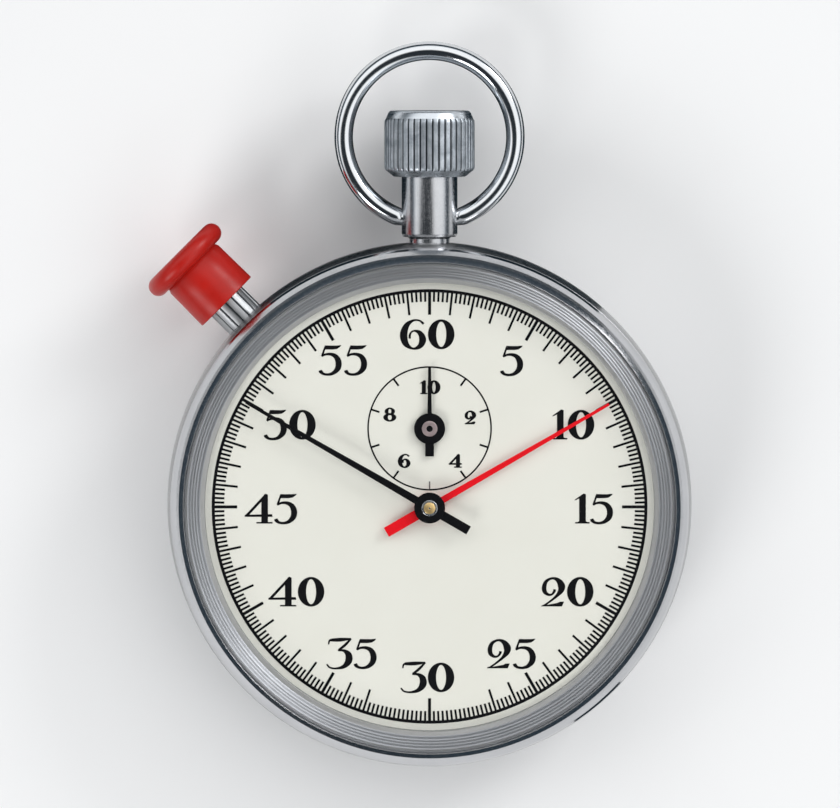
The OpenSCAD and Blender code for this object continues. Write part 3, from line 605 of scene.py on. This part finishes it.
def dial_ring():
    """The sloping ring between the glass and the dial, turned in fine steps."""
    inner, outer = Vector((LIP_R, 12.97)), Vector((25.4, 14.12))
    steps = 5
    slope = [(23.46, 12.9), (23.5, 12.95)]
    for i in range(steps):
        a, b = inner.lerp(outer, i / steps), inner.lerp(outer, (i + 1) / steps)
        tread = (0.34, 0.5, 0.42)[i % 3]
        slope += [(a.x, a.y), (a.x + (b.x - a.x) * tread, a.y + (b.y - a.y) * tread * 0.7)]
    ring = lathe("dial_ring", [
        (25.4, RING_TOP_Z), (25.55, RING_TOP_Z), (25.55, 12.42), (24.05, 12.42),
        (24.05, DIAL_TOP), (23.45, DIAL_TOP),
    ] + slope, ROUND, "case", "inner_steel", ["inner_ring"], sharp=12)
    paint(ring, "ring")
    ring.data.materials.append(M["lip_painted_highlight"])
    # painted highlight: the faces of the inner lip take the lighter copy of the ring metal
    for p in ring.data.polygons:
        c = p.center / MM
        if c.z > 12.4 and math.hypot(c.x, c.y) < LIP_R - 0.04:
            p.material_index = 1


def back_lid():
    """A snap-on back with a turned line round it."""
    back = [(0, 0), (20.6, 0, 0.05), (20.75, 0.16, 0.05), (21.0, 0.16, 0.05), (21.15, 0, 0.05),
            (22.6, 0, 0.6), (24.4, 0.3, 1.2), (25.3, 1.0, 0.9), (25.6, 2.3, 0.1), (24.0, 2.3),
            (24.0, 3.4, 0.05), (23.3, 3.4, 0.05), (23.3, 1.3), (0, 1.3)]
    paint(lathe("back_lid", rounded(back), ROUND, "case", "chrome", ["back_cover"]), "chrome_back")


def watch_glass():
    """A domed glass whose outer and inner faces are quarter ellipses."""
    r_out, r_in, edge_z, foot_z, rise_in = 25.5, 24.3, 14.9, 14.2, 1.6
    rise_out = high("crystal").z - edge_z
    n = 26
    turns = [math.pi / 2 * i / n for i in range(n + 1)]
    outer = [(r_out * math.sin(a), edge_z + rise_out * math.cos(a)) for a in turns]
    inner = [(r_in * math.sin(a), foot_z + rise_in * math.cos(a)) for a in reversed(turns)]
    outer[0], inner[-1] = (0.0, outer[0][1]), (0.0, inner[-1][1])
    outline = outer + [(r_out, foot_z)] + inner
    ob = lathe("watch_glass", outline, 192, "case", "crystal", ["crystal"])
    paint(ob, "glass")


# ---------------------------------------------------------------- pendant, bow and crown

def pendant_tube():
    r = high("pendant").x
    y0, y1 = low("pendant").y, high("pendant").y
    outline = [(1.3, y0), (2.12, y0), (2.12, 27.9, 0.1), (2.3, 28.1, 0.05), (r - 0.1, 28.1, 0.12),
               (r, 28.4, 0.3), (r, y1, 0.12), (1.3, y1, 0.05)]
    paint(lathe("pendant_tube", rounded(outline), 128, "case", "satin_steel", ["pendant"],
                origin=CROWN_AT, axis=Y), "satin")


def bow_ring():
    """A round wire bent into a ring, with a small pin turned in at each end."""
    half = math.acos((BOW_Y - BOW_PIN_Y) / BOW_R)
    points, radii = [], []
    n = 220
    for i in range(n + 1):
        a = -math.pi / 2 + half + (TAU - 2 * half) * i / n
        points.append(Vector((BOW_R * math.cos(a), BOW_Y + BOW_R * math.sin(a), AXIS_Z)))
        end = min(i, n - i)
        radii.append(BOW_WIRE_R if end > 2 else BOW_WIRE_R * (0.86, 0.95, 0.99)[end])
    ring = tube_mesh(points, radii, 40)
    pins = []
    for s in (-1, 1):
        pin = rounded([(0, 2.05), (0.8, 2.05, 0.1), (0.8, 3.3), (0, 3.3)])
        pins.append(lathe_mesh(pin, 40, (0, BOW_PIN_Y, AXIS_Z), X * s))
    verts, faces = join(ring, *pins)
    paint(piece("bow_wire", verts, faces, "bow", "chrome", ["bow"]), "bow_chrome")


def fluted_crown():
    """A knob with flat ridges that fade out at both ends."""
    ridge_h = 0.17
    core = CROWN_R - ridge_h
    y0, y1 = CROWN_LOW, CROWN_TOP
    side = []
    n = 26
    start, end = y0 + 0.62, y1 - 0.8
    for i in range(n + 1):
        side.append((core, start + (end - start) * i / n))

    def shape(radius, h, angle):
        if radius < core - 1e-6:
            return radius
        ends = min(1.0, (h - start) / 0.45, (end - h) / 0.5)
        ends = math.sqrt(max(0.0, 1 - (1 - max(ends, 0.0)) ** 2))
        ridge = math.sqrt(min(1.0, max(0.0, (math.cos(FLUTES * angle) + 0.93) * 1.5)))
        return core + ridge_h * ends * ridge

    foot = rounded([(3.25, y0), (3.75, y0, 0.15), (4.4, y0 + 0.52, 0.2), (core, start)])[:-1]
    head = [(core - 0.004, end + 0.02)] + rounded([
        (core, end + 0.03), (core - 0.28, y1 - 0.14, 0.5), (core - 0.5, y1, 0.1), (0.9, y1), (0.9, end),
    ])[1:-2]
    outline = foot + side + head + [(0, y1 - 0.04), (0, y1 - 0.7), (0.75, y1 - 0.7), (0.75, y0 + 4.2),
                                    (3.25, y0 + 4.2)]
    knob = lathe("crown_knob", outline, FLUTES * 12, "crown", "satin_steel", ["crown"],
                 origin=CROWN_AT, axis=Y, radius=shape, sharp=30)
    paint(knob, "crown_metal")
    knob.data.materials.append(M["crown_grip"])
    for p in knob.data.polygons:
        c = p.center / MM
        if start < c.y < end and math.hypot(c.x, c.z - AXIS_Z) > core - 0.1:
            p.material_index = 1


# ---------------------------------------------------------------- split pusher

def pusher_button():
    """A plain barrel under a round mushroom flange; heights run outwards from the barrel's foot."""
    foot, barrel, top = 30.1, 3.63, 7.25
    flange_r, flange_h, bead = 4.965, 6.2, 1.04
    flange = [(barrel - 0.06, 4.75)]
    for i in range(33):
        a = math.radians(-125 + 213 * i / 32)
        flange.append((flange_r - bead + bead * math.cos(a), flange_h + bead * math.sin(a)))
    outline = rounded([(2.4, 0), (barrel, 0, 0.12), (barrel - 0.02, 1.5)]) + [(barrel - 0.05, 3.2)]
    outline += flange + [(0, top), (0, 5.8), (1.2, 5.8), (1.2, 4.9), (2.4, 4.9)]
    paint(lathe("pusher_button", outline, 160, "pusher", "red_plastic", ["pusher_cap"],
                origin=Vector(PUSH_AT) + PUSH_DIR * foot, axis=PUSH_DIR, sharp=50), "red")


def pusher_tube():
    """The guide tube, grooved along its length above a collar."""
    tube_r, deep, half_width = 2.25, 0.16, 0.12

    def fluted(radius, h, angle):
        if radius < 2.2 or h < 3.2 or radius > 2.3:
            return radius
        away = abs((angle * GROOVES / TAU + GROOVE_PHASE) % 1.0 - 0.5) * TAU * tube_r / GROOVES
        return radius - deep * math.sqrt(max(0.0, 1 - (away / half_width) ** 2))

    sides = [(tube_r, 3.1)] + [(tube_r, 3.201 + 0.7 * i) for i in range(9)]
    outline = [(1.26, 0), (tube_r, 0), (tube_r, 2.6)]
    outline += rounded([(tube_r, 2.6), (2.74, 2.6, 0.04), (2.74, 3.02, 0.12), (tube_r, 3.04)])[1:]
    outline += sides + [(2.2, 9.0), (1.26, 9.0)]
    paint(lathe("pusher_tube", outline, GROOVES * 24, "case", "satin_steel", ["pusher_guide"],
                origin=Vector(PUSH_AT) + PUSH_DIR * 24.3, axis=PUSH_DIR, radius=fluted,
                sharp=35), "guide")


# ---------------------------------------------------------------- dial printing

INK = (DIAL_TOP, DIAL_TOP + 0.025)


def arc_shapes(centre, r0, r1, pieces=360, start=0.0, sweep=TAU):
    out = []
    for i in range(pieces):
        a, b = start + sweep * i / pieces, start + sweep * (i + 1) / pieces
        out.append([(centre.x + r * math.cos(t), centre.y + r * math.sin(t))
                    for r, t in ((r0, a), (r1, a), (r1, b), (r0, b))])
    return out


def tick(centre, angle, r_in, r_out, width):
    d = Vector((math.cos(angle), math.sin(angle)))
    s = Vector((-d.y, d.x)) * width / 2
    c = Vector((centre.x, centre.y))
    return [tuple(c + d * r_in - s), tuple(c + d * r_out - s), tuple(c + d * r_out + s),
            tuple(c + d * r_in + s)]


def smooth(points, steps=7):
    """A Catmull-Rom line through (x, y, width) points."""
    p = [Vector(q) for q in points]
    p = [p[0] * 2 - p[1]] + p + [p[-1] * 2 - p[-2]]
    out = []
    for i in range(1, len(p) - 2):
        for k in range(steps):
            t = k / steps
            out.append(0.5 * (2 * p[i] + (p[i + 1] - p[i - 1]) * t
                              + (2 * p[i - 1] - 5 * p[i] + 4 * p[i + 1] - p[i + 2]) * t * t
                              + (3 * p[i] - p[i - 1] - 3 * p[i + 1] + p[i + 2]) * t ** 3))
    return out + [p[-2]]


def stroke(points, steps=7):
    """The quads of a pen stroke whose width follows its points."""
    line = smooth(points, steps)
    left, right = [], []
    for i, p in enumerate(line):
        a, b = line[max(i - 1, 0)], line[min(i + 1, len(line) - 1)]
        t = Vector((b.x - a.x, b.y - a.y)).normalized()
        s = Vector((-t.y, t.x)) * max(p.z, 1.0) / 2
        left.append((p.x + s.x, p.y + s.y))
        right.append((p.x - s.x, p.y - s.y))
    return [[right[i], right[i + 1], left[i + 1], left[i]] for i in range(len(line) - 1)]


def ring_stroke(cx, cy, rx, ry, ix, iy, parts=48):
    """The quads between an outer and an inner ellipse."""
    out = []
    for i in range(parts):
        a, b = TAU * i / parts, TAU * (i + 1) / parts
        out.append([(cx + ex * math.cos(t), cy + ey * math.sin(t))
                    for ex, ey, t in ((ix, iy, a), (rx, ry, a), (rx, ry, b), (ix, iy, b))])
    return out


# Numerals on a body 100 high: [width, pen strokes and solid shapes]
GLYPHS = {
    "0": (89, ring_stroke(44.5, 50, 44.5, 50.5, 18, 43.5)),
    "1": (46, [[(16, 3), (37, 3), (37, 100), (33, 101), (16, 92)],
               [(2, 0), (50, 0), (50, 4), (2, 4)],
               [(10, 3.5), (43, 3.5), (37, 8), (16, 8)],
               [(0, 81), (2, 79.5), (17, 87), (34, 100), (30, 102)]]),
    "2": (82, stroke([(46, 58, 8), (44, 50, 7), (36, 41, 6), (24, 40, 8), (12, 50, 13), (10, 68, 14),
                      (18, 87, 10), (39, 96.5, 7), (58, 89, 15), (69, 71, 23), (67, 54, 18),
                      (53, 36, 9), (33, 19, 6), (10, 3, 5)])
     + [[(0, 0), (70, 0), (77, 15.5), (63, 15), (56, 11), (22, 5), (3, 4)]]),
    "3": (85, stroke([(5, 82, 3), (8, 94, 5), (16, 98, 8)])
     + stroke([(14, 97, 9), (46, 98, 12), (82, 101, 5)], 3)
     + stroke([(82, 101, 5), (62, 80, 8), (40, 62, 7)], 4)
     + stroke([(38, 61, 4), (58, 60, 9), (73, 47, 20), (74, 25, 22), (58, 6, 13), (32, -1, 6),
               (10, 2, 5), (-1, 13, 4)])),
    "4": (92, [[(55, 3), (76, 3), (76, 98), (70, 101), (66, 100), (55, 84)],
               [(38, 0), (92, 0), (92, 4), (38, 4)],
               [(-2, 23), (92, 23), (90, 31), (-2, 29)],
               [(-2, 26), (10, 27), (70, 92), (68, 101)]]),
    "5": (80, [[(21, 100), (40, 99.5), (60, 99.5), (76, 101), (71, 95), (62, 89), (48, 87),
                (20, 87)]]
     + stroke([(22, 96, 5), (17, 82, 5), (11, 64, 6)], 4)
     + stroke([(10, 64, 6), (24, 70, 7), (42, 70, 10), (58, 62, 15), (67, 44, 19), (65, 23, 18),
               (51, 7, 12), (33, 1, 8), (16, 3, 8), (7, 10, 11), (5, 15, 10)])),
    "6": (89, stroke([(80, 86, 7), (66, 97, 5), (44, 97, 7), (22, 80, 17), (12, 48, 24),
                      (20, 17, 18), (44, 1, 6), (68, 10, 16), (77, 32, 22), (68, 54, 15),
                      (50, 62, 6), (38, 57, 5), (33, 46, 6), (33, 36, 6)])),
    "8": (90, ring_stroke(45, 74, 35, 27, 16, 21) + ring_stroke(45, 28, 45, 30, 20, 23)),
}


def number(text, place, height, gap=7.0, bold=0.0):
    """The shapes of a whole number, centred on a place and thickened all round by bold."""
    total = sum(GLYPHS[c][0] for c in text) + gap * (len(text) - 1)
    scale = height / 100
    x = -total / 2
    shifts = [(bold, 0), (-bold, 0), (0, bold * 0.6), (0, -bold * 0.6)] if bold else [(0, 0)]
    out = []
    for c in text:
        for shape in GLYPHS[c][1]:
            for sx, sy in shifts:
                out.append([(place[0] + (px + sx + x) * scale, place[1] + (py + sy - 50) * scale)
                            for px, py in shape])
        x += GLYPHS[c][0] + gap
    return out


def print_on_dial(name, shapes, look="ink"):
    verts, faces = slab(shapes, *INK)
    paint(piece(name, verts, faces, "case", "black_lacquer", smooth=False), look)


def dial_printing():
    o = Vector((0, 0))
    track_r = 22.6
    track = arc_shapes(o, track_r - 0.16, track_r + 0.16)
    blank = (28, 29, 31, 32)  # these seconds keep short ticks
    for i in range(300):
        a = math.pi / 2 - TAU * i / 300
        second = i / 5
        if i % 25 == 0:
            track.append(tick(o, a, track_r - 2.5, track_r, 0.31))
        elif i % 5 == 0 and second not in blank:
            track.append(tick(o, a, track_r - 2.45, track_r, 0.23))
        else:
            track.append(tick(o, a, track_r - 1.15, track_r, 0.22))
    print_on_dial("seconds_track", track)
    places = {
        "60": (-0.25, 18.05), "5": (8.6, 15.3), "10": (15.0, 8.6), "15": (17.2, -0.2),
        "20": (14.4, -8.9), "25": (8.6, -15.4), "30": (-0.2, -17.9), "35": (-8.1, -15.4),
        "40": (-13.9, -8.9), "45": (-16.5, -0.2), "50": (-14.6, 8.6), "55": (-9.0, 15.35),
    }
    for text, place in places.items():
        print_on_dial("numeral_" + text, number(text, place, 3.05, bold=0.8))
    c = MINUTE
    print_on_dial("minute_circle", arc_shapes(c, 6.34, 6.5, 180))
    marks = []
    for i in range(1, 10):
        if i != 5:
            marks.append(tick(c, math.pi / 2 - TAU * i / 10, 5.5, 6.42, 0.2))
    print_on_dial("minute_marks", marks)
    print_on_dial("minute_mark_low", [tick(c, -math.pi / 2, 5.55, 6.42, 0.13)], "grey_ink")
    small = {"10": (0.05, 4.3), "2": (4.25, 1.15), "4": (2.7, -3.4), "6": (-2.65, -3.4),
             "8": (-4.15, 1.45)}
    for text, (x, y) in small.items():
        print_on_dial("minute_" + text, number(text, (c.x + x, c.y + y), 1.36, 14.0, 5.0))


# ---------------------------------------------------------------- hands

def blade(at, angle, z, thick, length, tail, tail_w, root_w, tip_w):
    """A thin pointer with a shallow ridge down its middle and bevelled edges."""
    d = Vector((math.cos(angle), math.sin(angle), 0))
    s = Vector((-d.y, d.x, 0))
    verts, faces = [], []
    stations = [(-tail, tail_w), (-tail + 0.06, tail_w), (-1.3, tail_w), (-0.9, root_w)]
    n = 14
    for i in range(n + 1):
        t = i / n
        stations.append((t * length, root_w + (tip_w - root_w) * t))
    bevel = 0.035
    for x, w in stations:
        for side, up in ((-0.5, 0), (0.5, 0), (0.5, thick - bevel), (0.5, thick), (0, thick + 0.02),
                         (-0.5, thick), (-0.5, thick - bevel)):
            inset = bevel if up >= thick and side else 0.0
            across = side * w - math.copysign(inset, side) if side else 0.0
            verts.append(Vector(at) + d * x + s * across + Z * (z + up))
    k = 7
    for i in range(len(stations) - 1):
        for j in range(k):
            m = (j + 1) % k
            faces.append((i * k + j, i * k + m, (i + 1) * k + m, (i + 1) * k + j))
    faces.append(tuple(range(k)))
    faces.append(tuple(reversed([(len(stations) - 1) * k + j for j in range(k)])))
    return verts, outward(verts, faces)


def disc(at, r, z0, z1, fillet=0.08, hole=0.0, segments=96):
    outline = [(hole, z0), (r, z0, 0.02), (r, z1, fillet), (hole, z1, 0.02 if hole else 0)]
    return lathe_mesh(rounded(outline), segments, at)


def hands():
    o = (0, 0, 0)
    z = low("sweep_hand").z + 0.15
    arm = blade(o, math.radians(150), z, 0.16, 22.1, 4.7, 0.95, 0.84, 0.3)
    hub = disc(o, 1.61, z - 0.02, z + 0.3, 0.1, 0.4)
    boss = disc(o, 1.1, z - 0.15, z + 0.05, 0.03, 0.4)
    v, f = join(arm, hub, boss)
    paint(piece("sweep_pointer", v, f, "sweep", "black_lacquer", ["sweep_hand"], sharp=25), "black")
    ring = rounded([(0.45, z + 0.2), (0.84, z + 0.2), (0.84, z + 0.42, 0.06), (0.5, z + 0.42, 0.05)])
    paint(lathe("sweep_ring", ring, 96, "sweep", "polished_steel"), "round_steel")
    cap = rounded([(0, z + 0.3), (0.6, z + 0.3), (0.6, z + 0.6, 0.05), (0.12, z + 0.66, 0.02),
                   (0.08, z + 0.5, 0.02), (0, z + 0.46)])
    paint(lathe("sweep_cap", cap, 96, "sweep", "wheel_brass"), "cap_brass")

    z = low("split_hand").z + 0.15
    arm = blade(o, math.radians(30), z, 0.13, 21.6, 5.2, 1.08, 0.74, 0.3)
    hub = disc(o, 1.45, z - 0.02, z + 0.2, 0.05, 0.63)
    boss = disc(o, 1.0, z - 0.15, z + 0.05, 0.03, 0.63)
    v, f = join(arm, hub, boss)
    paint(piece("split_pointer", v, f, "split", "red_lacquer", ["split_hand"], sharp=25), "red_paint")

    z = low("minute_hand").z + 0.15
    c = tuple(MINUTE)
    arm = blade(c, math.radians(90), z, 0.12, 6.5, 2.9, 0.92, 0.5, 0.3)
    hub = disc(c, 1.62, z - 0.02, z + 0.2, 0.08, 0.3)
    boss = disc(c, 0.8, z - 0.15, z + 0.05, 0.03, 0.3)
    v, f = join(arm, hub, boss)
    paint(piece("minute_pointer", v, f, "minute", "black_lacquer", ["minute_hand"], sharp=25), "black")
    ring = rounded([(0.3, z + 0.15), (0.81, z + 0.15), (0.81, z + 0.26, 0.04), (0.34, z + 0.26, 0.03)])
    paint(lathe("minute_ring", ring, 96, "minute", "polished_steel", origin=c), "rose_steel")
    plug = rounded([(0, z + 0.16), (0.33, z + 0.16), (0.33, z + 0.235, 0.02), (0, z + 0.235)])
    paint(lathe("minute_plug", plug, 64, "minute", "black_lacquer", origin=c), "black")


# ---------------------------------------------------------------- build

case_band()
bezel()
dial_ring()
back_lid()
watch_glass()
pendant_tube()
bow_ring()
fluted_crown()
pusher_button()
pusher_tube()
dial_printing()
hands()

# The movement keeps its CAD meshes, and gets its finish here
FINISH = {
    "enamel": ["dial"],
    "plate": ["main_plate"],
    "brass": ["barrel_bridge", "train_bridge", "balance_cock", "pallet_bridge"],
    "wheel": ["barrel_drum", "barrel_cover", "second_wheel", "third_wheel", "sweep_wheel",
              "escape_wheel", "balance_wheel", "intermediate_wheel", "minute_wheel", "split_wheel"],
    "blued": ["bridge_screws", "ratchet_screw", "hairspring", "mainspring", "click_spring"],
    "black_polish": ["regulator", "click", "pallet_fork", "balance_staff", "sweep_heart",
                     "minute_heart", "split_heart", "winding_stem", "crown_sleeve",
                     "pusher_plunger"],
    "round_steel": ["crown_wheel", "ratchet_wheel", "barrel_arbor", "sweep_arbor",
                    "winding_pinion"],
    "steel": ["split_clamp_left", "split_clamp_right", "split_column_wheel", "operating_lever",
              "column_wheel", "reset_hammer", "movement_ring"],
    "ruby": ["jewels", "pallet_stones", "impulse_pin"],
}
for look, names in FINISH.items():
    for name in names:
        paint(NODES[name], look)


# ---------------------------------------------------------------- stage, light and camera

SHADE_SHEET_R = (0.0282, 0.05)  # the dark sheets of painted reflection lie between these radii, in metres
OVAL_AT, OVAL_SIZE = (-0.2, -0.36), (0.58, 0.64)  # the tent's opening, by the direction's x and y
TENT_STRENGTH = 1.34
CAMERA_TILT, CAMERA_AWAY, CAMERA_LENS = math.radians(3.5), 0.6, 244.6
CAMERA_TARGET = Vector((-1.0, 10.5, 7.5)) * MM

def stage():
    floor_look = Look("floor", Roughness=0.85)
    cloud = floor_look.noise(floor_look.space(), 0.02, 3.0)
    floor_look.give("Base Color", floor_look.mix(cloud, tone(0.86, 0.86, 0.86), tone(0.89, 0.89, 0.89)))
    mesh = bpy.data.meshes.new("floor")
    s, z = 1.5, BOX_LO.z - 0.0001
    mesh.from_pydata([(-s, -s, z), (s, -s, z), (s, s, z), (-s, s, z)], [], [(0, 1, 2, 3)])
    mesh.materials.append(floor_look.material)
    floor = bpy.data.objects.new("floor", mesh)
    bpy.context.scene.collection.objects.link(floor)


def sky():
    """A bright overhead tent with dark sides, so that polished metal shows bands."""
    world = bpy.data.worlds.new("tent")
    bpy.context.scene.world = world
    world.use_nodes = True
    tree = world.node_tree
    back = tree.nodes["Background"]
    at = tree.nodes.new("ShaderNodeTexCoord")
    parts = tree.nodes.new("ShaderNodeSeparateXYZ")
    tree.links.new(at.outputs["Generated"], parts.inputs[0])
    ramp = tree.nodes.new("ShaderNodeValToRGB")
    tree.links.new(parts.outputs[2], ramp.inputs[0])
    stops = [(0.0, (0.5, 0.5, 0.5)), (0.03, (0.025, 0.038, 0.05)), (0.3, (0.035, 0.05, 0.065)),
             (0.39, (0.45, 0.48, 0.51)), (0.5, (0.95, 0.96, 0.97)), (1.0, (1.0, 1.0, 1.0))]
    for i, (place, colour) in enumerate(stops):
        e = ramp.color_ramp.elements
        stop = e[i] if i < 2 else e.new(place)
        stop.position = place
        stop.color = (*colour, 1)
    # A dark oval opening in the tent, from straight overhead down to the left
    flat = tree.nodes.new("ShaderNodeCombineXYZ")
    for i, width in enumerate(OVAL_SIZE):
        squash = tree.nodes.new("ShaderNodeMath")
        squash.operation = "DIVIDE"
        tree.links.new(parts.outputs[i], squash.inputs[0])
        squash.inputs[1].default_value = width
        tree.links.new(squash.outputs[0], flat.inputs[i])
    away = tree.nodes.new("ShaderNodeVectorMath")
    away.operation = "DISTANCE"
    tree.links.new(flat.outputs[0], away.inputs[0])
    away.inputs[1].default_value = (OVAL_AT[0] / OVAL_SIZE[0], OVAL_AT[1] / OVAL_SIZE[1], 0)
    soft = tree.nodes.new("ShaderNodeMapRange")
    tree.links.new(away.outputs["Value"], soft.inputs[0])
    soft.inputs[1].default_value, soft.inputs[2].default_value = 0.82, 1.1
    soft.inputs[3].default_value, soft.inputs[4].default_value = 1.0, 0.0
    mix = tree.nodes.new("ShaderNodeMix")
    mix.data_type = "RGBA"
    tree.links.new(soft.outputs[0], mix.inputs[0])
    tree.links.new(ramp.outputs[0], mix.inputs[6])
    mix.inputs[7].default_value = (0.02, 0.025, 0.03, 1)
    tree.links.new(mix.outputs[2], back.inputs[0])
    back.inputs[1].default_value = TENT_STRENGTH


def lamp(name, place, size, power, colour=(1, 1, 1)):
    data = bpy.data.lights.new(name, "AREA")
    data.shape, data.size, data.energy, data.color = "DISK", size, power, colour
    ob = bpy.data.objects.new(name, data)
    bpy.context.scene.collection.objects.link(ob)
    ob.location = place
    aim = Vector((0, 0.01, 0.01)) - ob.location
    ob.rotation_mode = "QUATERNION"
    ob.rotation_quaternion = aim.to_track_quat("-Z", "Y")


def camera():
    data = bpy.data.cameras.new("camera")
    ob = bpy.data.objects.new("camera", data)
    bpy.context.scene.collection.objects.link(ob)
    bpy.context.scene.camera = ob
    away = Vector((0, math.sin(CAMERA_TILT), math.cos(CAMERA_TILT)))
    ob.location = CAMERA_TARGET + away * CAMERA_AWAY
    ob.rotation_mode = "QUATERNION"
    ob.rotation_quaternion = Matrix((X, away.cross(X), away)).transposed().to_quaternion()
    data.lens, data.sensor_width = CAMERA_LENS, 36
    data.clip_start, data.clip_end = 0.05, 20


def dark_card(name, verts, faces):
    """A matt dark card on the stage, for the polished metal to mirror."""
    look = Look(name, Base_Color=tone(0.02, 0.034, 0.045), Roughness=0.9, Specular_IOR_Level=0.0)
    mesh = bpy.data.meshes.new(name)
    mesh.from_pydata(verts, [], faces)
    mesh.materials.append(look.material)
    card = bpy.data.objects.new(name, mesh)
    bpy.context.scene.collection.objects.link(card)
    return card


def flag():
    """A low card standing far behind the crown."""
    half, y, z0 = 0.16, 0.15, BOX_LO.z
    z1 = z0 + 0.015
    dark_card("flag", [(-half, y, z0), (half, y, z0), (half, y, z1), (-half, y, z1)], [(0, 1, 2, 3)])


def shade_reflection_sheet(name, start, end):
    """A dark sheet on the floor beyond part of the case, seen only in the rim as a painted reflection of
    shaded floor.
    """
    verts, faces, n = [], [], 40
    for i in range(n + 1):
        a = math.radians(start + (end - start) * i / n)
        for r in SHADE_SHEET_R:
            verts.append((r * math.cos(a), r * math.sin(a), BOX_LO.z + 0.0003))
    for i in range(n):
        faces.append((2 * i, 2 * i + 1, 2 * i + 3, 2 * i + 2))
    card = dark_card(name, verts, faces)
    # painted reflection: hidden from camera, diffuse light and shadows, the sheet only darkens the rim's
    # reflection, standing in for shaded floor
    card.visible_camera = card.visible_diffuse = card.visible_shadow = False


stage()
sky()
flag()
# painted reflections of shaded floor, beyond the rim at the top and at the lower right
shade_reflection_sheet("shade_reflection_top", 48, 132)
shade_reflection_sheet("shade_reflection_low", -57, -44)
lamp("key", (-0.33, -0.45, 0.42), 0.34, 2.0)
lamp("fill", (0.42, 0.36, 0.3), 0.24, 1.2)
camera()
scene = bpy.context.scene
scene.view_settings.view_transform = "Standard"
